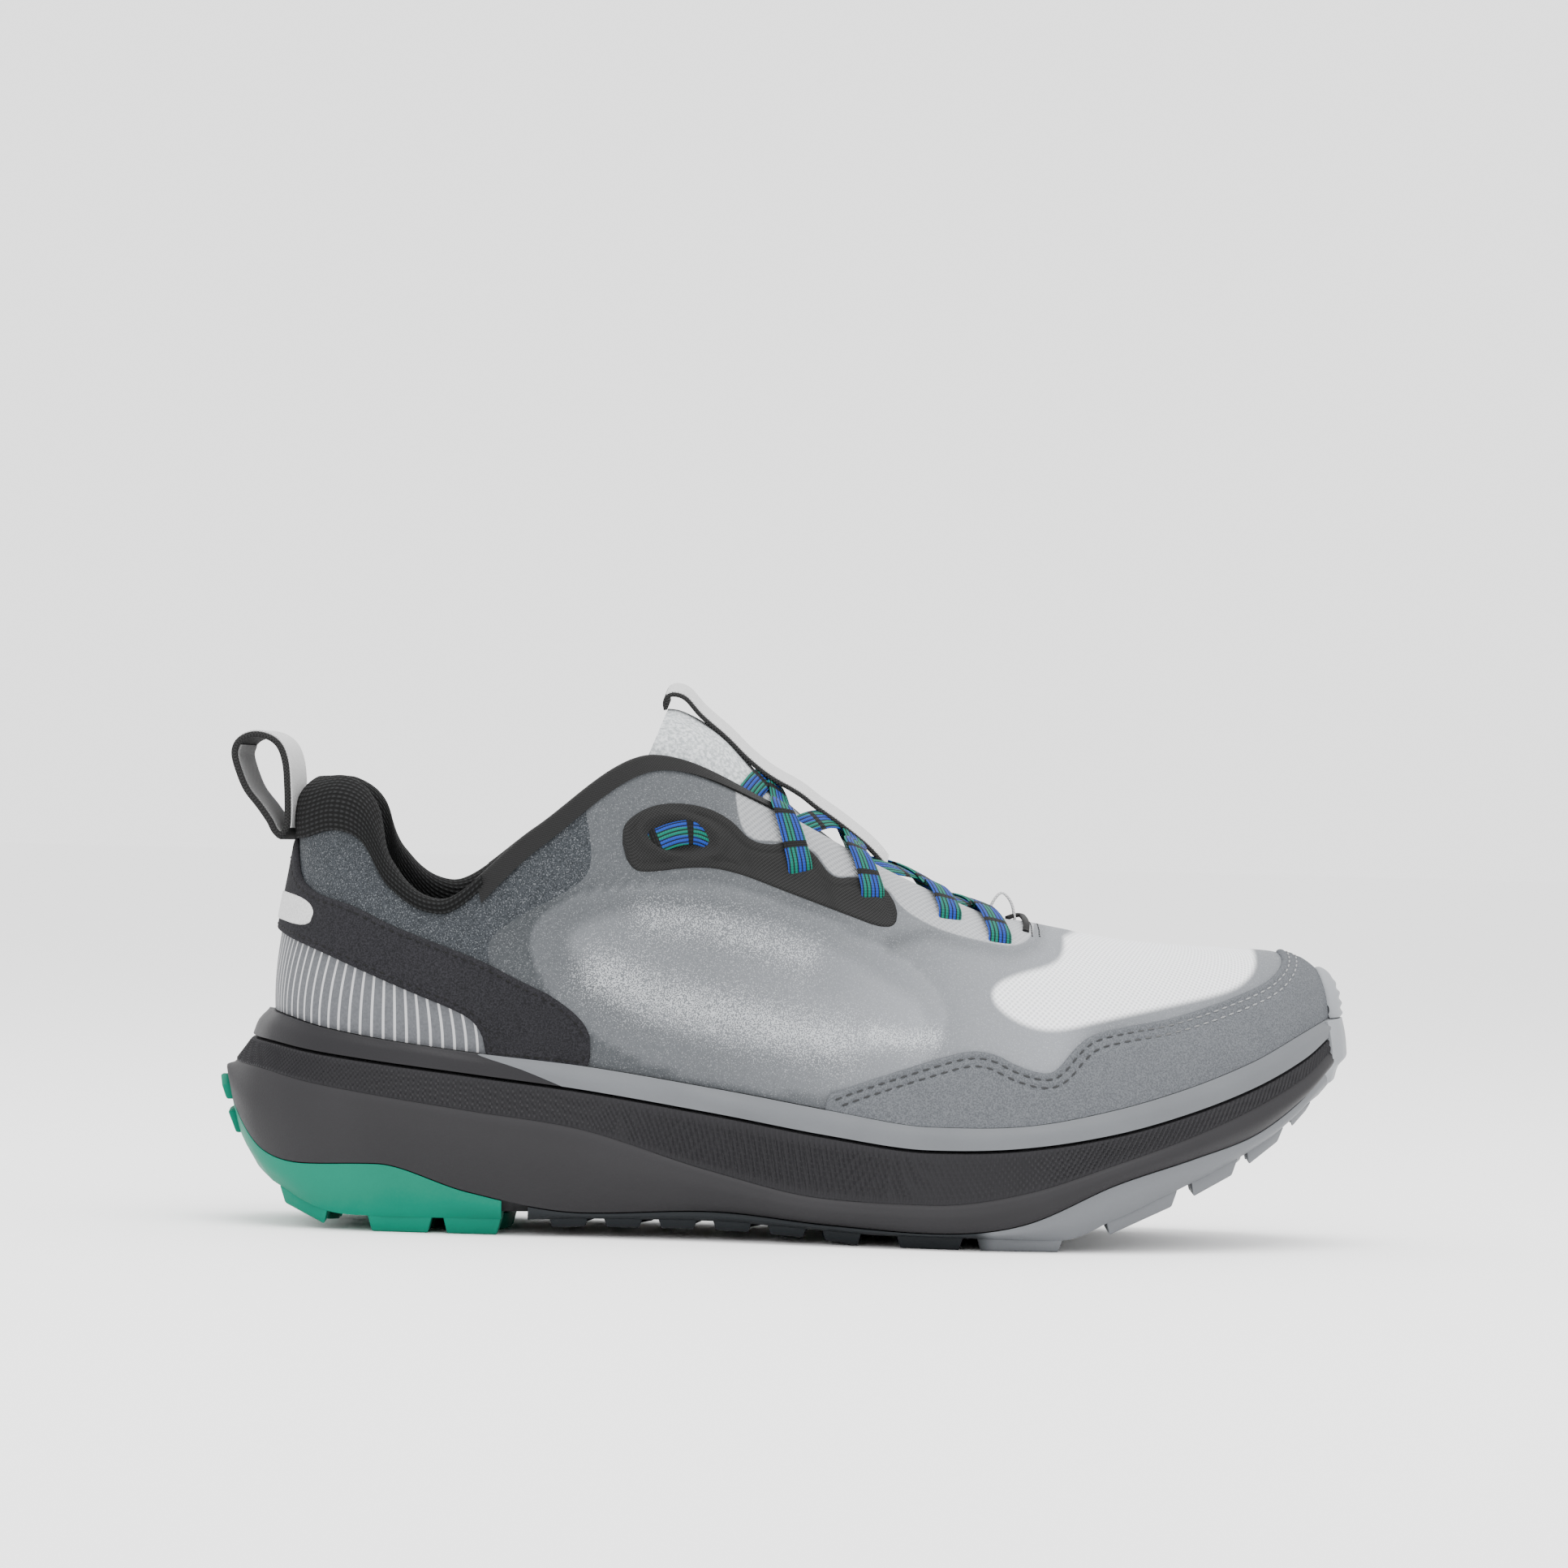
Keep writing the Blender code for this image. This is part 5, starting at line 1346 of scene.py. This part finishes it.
def stitches(name, rows, thread):
    """Short threads along the paths, each a stretched sphere."""
    bpy.ops.mesh.primitive_uv_sphere_add(segments=6, ring_count=4, radius=0.5)
    model = bpy.context.object
    copies = []
    for point, out in rows:
        steps = np.linalg.norm(np.diff(point, axis=0), axis=1)
        length_at = np.concatenate(([0.0], np.cumsum(steps)))
        for centre in np.arange(thread.pitch / 2, length_at[-1], thread.pitch):
            halves = (-thread.length / 2, thread.length / 2)
            ends = [along_path(centre + half, length_at, point) for half in halves]
            if np.linalg.norm(ends[1] - ends[0]) >= 0.5 * thread.length:
                up = along_path(centre, length_at, out)
                copies.append(thread_copy(model, ends, up, thread.width, thread.lift))
    bpy.data.objects.remove(model)
    return join(name, copies)


def thread_copy(model, ends, up, width, lift):
    along = ends[1] - ends[0]
    up = up - along * (up @ along) / (along @ along)
    up = up / np.linalg.norm(up)
    across_it = np.cross(up, along / np.linalg.norm(along))
    middle = (ends[0] + ends[1]) / 2 + up * lift
    matrix = Matrix(np.vstack((
        np.column_stack((along, across_it * width, up * width * 0.8, middle)), (0.0, 0.0, 0.0, 1.0),
    )).tolist())
    copy = model.copy()
    copy.data = model.data.copy()
    copy.data.transform(matrix)
    bpy.context.scene.collection.objects.link(copy)
    return copy


def eyestay_relief(point, inside):
    """A pressed rim line, the hollow and ring round the lace's window, and the trough before it."""
    line = 0.00035 * np.exp(-(((inside - 0.0024) / 0.0005) ** 2))
    hollow = depth_inside(point, zone["eyelet"])
    ring = 0.0009 * np.exp(-(((hollow + 0.0021) / 0.0011) ** 2))
    trough = 0.00045 * nearness(point, EYESTAY_TROUGH, 0.0022)
    window = 0.00045 * ease(hollow, -0.0008, 0.0008)
    return ring - np.maximum(np.maximum(line, trough), window)


def make_overlays():
    both = (-1, 1)
    toe, heel, tip, stay = (7.0, LAST), (0.0, 7.0), (14.0, LAST), (5.0, 11.0)
    # An overlay: name, outline, sides, places, columns, rows, height, thickness, rolled rim and relief
    guard = overlay("toe_mudguard", "guard", both, toe, 300, 40, GAP, OVERLAY, 0.0009, guard_relief)
    done(guard, "suede", "suede", "toe_guard")
    rows = [stitch_path("guard", side, toe, inset) for side in both for inset in GUARD_SEAMS]
    done(stitches("guard_stitches", rows, GUARD_THREAD), "thread", "suede")
    wrap = overlay("heel_wrap", "band", both, heel, 230, 30, GAP, OVERLAY, 0.0008, None)
    done(wrap, "nubuck", "nubuck", "heel_band")
    rows = [stitch_path("band", side, heel, WRAP_SEAM, top) for side in both for top in (True, False)]
    done(stitches("wrap_stitches", rows, WRAP_THREAD), "dark_thread", "nubuck")
    low, weave = GAP + OVERLAY, (200, 40, GAP * 0.3, EYESTAY, 0.0007, eyestay_relief)
    for shape, look in (
        (("heel_patch", "patch", both, (0.0, 4.0), 130, 10, low, 0.0004, 0.0004, None), ("silver", "strap")),
        (("toe_cap", "bumper", both, tip, 120, 60, low, BUMPER, 0.0016, bumper_relief),
         ("bumper", "tread_rubber", "toe_bumper")),
        (("eyestay_outer", "eyestay", (-1,), stay, *weave), ("weave", "webbing", "eyestay_lateral")),
        (("eyestay_inner", "eyestay", (1,), stay, *weave), ("weave", "webbing", "eyestay_medial")),
    ):
        done(overlay(*shape), *look)


def guard_relief(_, inside):
    """Shallow channels below the two rows of stitches."""
    channels = sum(np.exp(-(((inside - inset) / 0.0006) ** 2)) for inset in GUARD_SEAMS)
    return -0.00035 * channels


def bumper_relief(point, inside):
    """Fine ribs across the rubber over the toe."""
    return 0.0003 * np.sin(math.tau * point[..., 2] / 0.0022) * ease(inside, 0.0008, 0.0020)


def rim_frame(place, side):
    """The upper's top edge with its directions, and the collar's height over it."""
    point, out, up = wall_frame(place, side, np.ones_like(place))
    return point, out, up, (HEEL_HEIGHT * crown["cuff"](place))[:, None]


def cuff_section(place, side):
    """Padded collar: outside above the upper's edge, over the top and down its inner face."""
    point, out, up, rise = rim_frame(place, side)
    pad = CUFF_PAD * np.minimum(1.0, 0.45 + rise / 0.012)
    inside = WALL + SEAT
    outer = [
        point + out * 0.0008 - up * 0.0006,
        point + out * 0.0020 + up * 0.30 * rise,
        point + out * 0.0014 + up * 0.70 * rise,
    ]
    for inward, high in ((0.20, 0.96), (0.55, 1.02), (0.95, 0.80), (1.10, 0.20)):
        outer.append(point - out * inward * pad + up * high * rise)
    lining, seat = [], []
    for share, thick in ((0.85, 1.05), (0.70, 0.75), (CUFF_DEPTH, 0.35)):
        near, away, _ = wall_frame(place, side, np.full_like(place, share))
        lining.append(near - away * np.maximum(thick * pad, inside + 0.0012))
        seat.append(near - away * inside)
    face = through([*outer, *lining], 4)
    return [*face, *reversed(seat), point - out * inside]


def make_cuff():
    obj = tube("knit_collar", along_sides(cuff_section, 150, 0.0, CUFF_END))
    done(obj, "knit", "knit", "collar_cuff")


def binding_section(place, side):
    """Tape folded over the upper's top edge."""
    point, out, up, rise = rim_frame(place, side)
    middle, half = point - out * WALL / 2, BINDING_WIDTH / 2
    ring = [
        middle + out * half * across + up * high * rise
        for across, high in ((1, -1.1), (1.08, 0), (1, 0.7), (0, 1), (-1, 0.7), (-1.08, 0), (-1, -1.1))
    ]
    return [*through(ring, 4), middle - up * 0.6 * rise]


def make_bindings():
    for name, side, node in (("outer", -1, "binding_lateral"), ("inner", 1, "binding_medial")):
        places = spread(CUFF_END - 0.05, BINDING_END, 140, side)
        rows = np.stack(binding_section(places, side), 1)
        done(tube(f"binding_{name}", rows), "tape", "webbing", node)


def strap(name, path, width, thick, shift, twist, closed=False):
    """Flat strap across the shoe's middle, with rounded edges. The twist moves its far edge in x and z."""
    path = [np.array(point) for point in path]
    points = np.array(through([*path, path[0]] if closed else path, 6))
    if closed:
        points = points[:-1]
        tangents = unit(np.roll(points, -1, 0) - np.roll(points, 1, 0))
    else:
        tangents = unit(np.gradient(points, axis=0))
    up = np.stack((-tangents[:, 1], tangents[:, 0]), 1)
    points = points + up * shift
    half, deep = width / 2, thick / 2
    flat = half - 0.4 * deep
    ring = (
        (-half, -0.4), (-flat, -1), (flat, -1), (half, -0.4),
        (half, 0.4), (flat, 1), (-flat, 1), (-half, 0.4),
    )
    sections = []
    for y, part in ring:
        place = points + up * part * deep + np.array(twist) * y
        sections.append(np.stack((place[:, 0], np.full(len(place), MIDLINE + y), place[:, 1]), 1))
    return tube(name, np.stack(sections, 1), ring=closed)


def make_straps():
    loop, tab = (
        [(LENGTH * (along - 0.5), height * up) for along, up in shares]
        for shares, height in ((PULL_LOOP, INSTEP_HEIGHT), (TONGUE_STRAP, TONGUE_HEIGHT))
    )
    loop_face, tab_face = LOOP_WIDTH - 0.002, STRAP_WIDTH - 0.002
    # Name, path, width, thickness, distance from the path and twist
    for shape, look in (
        (("heel_loop", loop, LOOP_WIDTH, STRAP * 1.5, 0.0, LOOP_TWIST, True),
         ("strap", "strap", "pull_loop")),
        (("loop_facing", loop[7:], loop_face, 0.0005, STRAP * 0.9, LOOP_TWIST), ("facing", "strap")),
        (("loop_lining", loop[:8], loop_face, 0.0005, -STRAP * 0.9, LOOP_TWIST), ("inner_facing", "strap")),
        (("tongue_tab", tab, STRAP_WIDTH, STRAP, 0.0, STRAP_TWIST), ("strap", "strap", "tongue_strap")),
        (("tab_facing", tab[2:], tab_face, 0.0004, STRAP * 0.6, STRAP_TWIST), ("facing", "strap")),
    ):
        done(strap(*shape), *look)


def tongue_frame(place):
    """Ridge point of the tongue and the direction from it into the shoe, in the middle plane."""
    def ridge(at):
        return np.stack((LENGTH * (saddle["along"](at) - 0.5), TONGUE_HEIGHT * saddle["height"](at)), -1)

    last = len(TONGUE) - 1.0
    run = ridge(np.clip(place + 1.5, 1.0, last)) - ridge(np.clip(place - 1.5, 1.0, last))
    return ridge(place), unit(np.stack((run[..., 1], -run[..., 0]), -1))


def tongue_point(place, angle, depth):
    """Point of the tongue at this angle from its ridge, depth below its outer face."""
    place, angle, depth = np.broadcast_arrays(*(np.asarray(item, float) for item in (place, angle, depth)))
    ridge, down = tongue_frame(place)
    half = SOLE_WIDTH * saddle["half"](place) - depth
    sink = SOLE_WIDTH * saddle["drop"](place) * (1 - np.cos(angle)) + depth * np.cos(angle)
    flat = ridge + down * sink[..., None]
    return np.stack((flat[..., 0], MIDLINE + half * np.sin(angle), flat[..., 1]), -1)


def make_tongue():
    places = np.linspace(0.0, len(TONGUE) - 1.0, 120)
    angles = np.linspace(-math.radians(84), math.radians(84), 60)
    thick = TONGUE_HEIGHT * saddle["thick"](places)[:, None]
    roll = np.sin(np.linspace(0.0, math.pi, len(angles)))[None, :] ** 0.5
    outer = tongue_point(places[:, None], angles[None, :], 0.5 * thick * (1 - roll))
    inner = tongue_point(places[:, None], angles[None, ::-1], thick * (0.5 + 0.5 * roll))
    obj = tube("tongue_pad", np.concatenate((outer, inner), axis=1))
    done(obj, "pale", "mesh", "tongue")


def find_share(x, z, side):
    """Place and share of the upper's point seen from the side at this spot."""
    places, shares = np.linspace(5.0, THROAT_END, 240), np.linspace(0.3, 1.0, 200)
    grid = upper(places[:, None], side, shares[None, :])
    far = (grid[..., 0] - x) ** 2 + (grid[..., 2] - z) ** 2
    row, column = np.unravel_index(far.argmin(), far.shape)
    return places[row], shares[column]


def lace_hole(number, side):
    along, height = LACE_HOLES[number]
    return find_share(LENGTH * (along - 0.5), INSTEP_HEIGHT * height, side)


def on_wall(rows, side):
    """Path of points and outward directions through side-view places with their heights over the wall."""
    path = []
    for x, z, lift in rows:
        place, share = find_share(x, z, side)
        point, out, _ = wall_frame(place, side, share)
        path.append((point + out * lift, out))
    return path


def tongue_surface(x, y):
    """Point of the tongue's outer face above this point of the plan, and its outward direction."""
    def height(x, y):
        places = np.linspace(0.5, len(TONGUE) - 1.0, 400)
        angle = np.arcsin(np.clip((y - MIDLINE) / (SOLE_WIDTH * saddle["half"](places)), -0.95, 0.95))
        points = tongue_point(places, angle, 0.0)
        return float(np.interp(x, points[:, 0], points[:, 2]))

    step = 0.002
    along = (height(x + step, y) - height(x - step, y)) / (2 * step)
    beside = (height(x, y + step) - height(x, y - step)) / (2 * step)
    return np.array((x, y, height(x, y))), unit(np.array((-along, -beside, 1.0)))


def lace_path(start, side, lift):
    """From inside one hole over the throat to just inside the other edge, a hole back."""
    place, share = lace_hole(start, side)
    away = EYESTAY + LACE / 2 + 0.0004
    path = []
    point, out, _ = wall_frame(place, side, share - 0.015)
    path.append((point - out * 0.0012, out))
    for part, rise in ((0.0, 0.3), (0.12, 1.0), (0.5, 1.1), (0.9, 1.3)):
        point, out, _ = wall_frame(place, side, share + (0.998 - share) * part)
        path.append((point + out * away * rise, out))
    other, _ = lace_hole(start - 1, -side)
    first, target = path[-1][0], crest(other, -side)
    for part in (0.25, 0.45, 0.65, 0.85, 1.0):
        x = first[0] + (target[0] - first[0]) * part**1.7
        y = first[1] + (target[1] - first[1]) * part
        point, out = tongue_surface(x, y)
        arch = 0.0 if start == 1 else LACE_ARCH * math.sqrt(max(math.sin(math.pi * part), 0.0))
        path.append((point + out * (arch + lift * (1.0 if part < 0.9 else 0.4)), out))
    return path


def ribbon(name, path, width=LACE_WIDTH):
    """Flat lace with soft edges along a path of points and outward directions."""
    points = np.array(through([point for point, _ in path], 6))
    outs = unit(np.array(through([out for _, out in path], 6)))
    tangents = unit(np.gradient(points, axis=0))
    outs = unit(outs - tangents * (outs * tangents).sum(1, keepdims=True))
    across_it = np.cross(tangents, outs)
    sections = []
    for angle in np.linspace(0, math.tau, 14, endpoint=False):
        wide = math.copysign(abs(math.cos(angle)) ** 0.6, math.cos(angle))
        deep = math.copysign(abs(math.sin(angle)) ** 0.8, math.sin(angle))
        sections.append(points + across_it * wide * width / 2 + outs * deep * LACE / 2)
    return tube(name, np.stack(sections, 1))


def make_laces():
    for start in range(1, len(LACE_HOLES)):
        lift = LACE_UNDER_STRAP if start == 1 else LACE_LIFT
        over = ribbon("lace", lace_path(start, -1, lift + 0.85 * LACE))
        below = ribbon("lace", lace_path(start, 1, lift))
        done(join(f"lace_{start}", [over, below]), "lace", "lace", f"lace_cross_{start}")
    done(strap("lace_keeper", LACE_KEEPER, 0.006, 0.0006, 0.0, (0.0, 0.0)), "facing", "strap")
    tip, window = np.array(LACE_TIP) / 1000, np.array(EYELET_LACE) / 1000
    done(ribbon("lace_tip", on_wall(tip, -1), 0.0018), "tape", "lace")
    seams = []
    for x in THROAT_SEAMS:
        line = on_wall([(x, z, 0.0) for z in np.linspace(*THROAT_SEAM_ENDS, 8)], -1)
        seams.append([np.array(part) for part in zip(*line)])
    done(stitches("throat_stitches", seams, THROAT_THREAD), "dark_thread", "mesh")
    pair = [ribbon("lace", on_wall(window, side)) for side in (-1, 1)]
    done(join("lace_in_window", pair), "lace", "lace")


make_camera()
make_studio()
finish = make_finishes()
bpy.ops.object.select_all(action="DESELECT")
make_midsole()
make_rims()
done(tube("footbed", from_side_to_side(insole_rows, 220)), "lining", "lining", "insole")
make_outsoles()
make_upper()
make_overlays()
make_cuff()
make_bindings()
make_tongue()
make_straps()
make_laces()
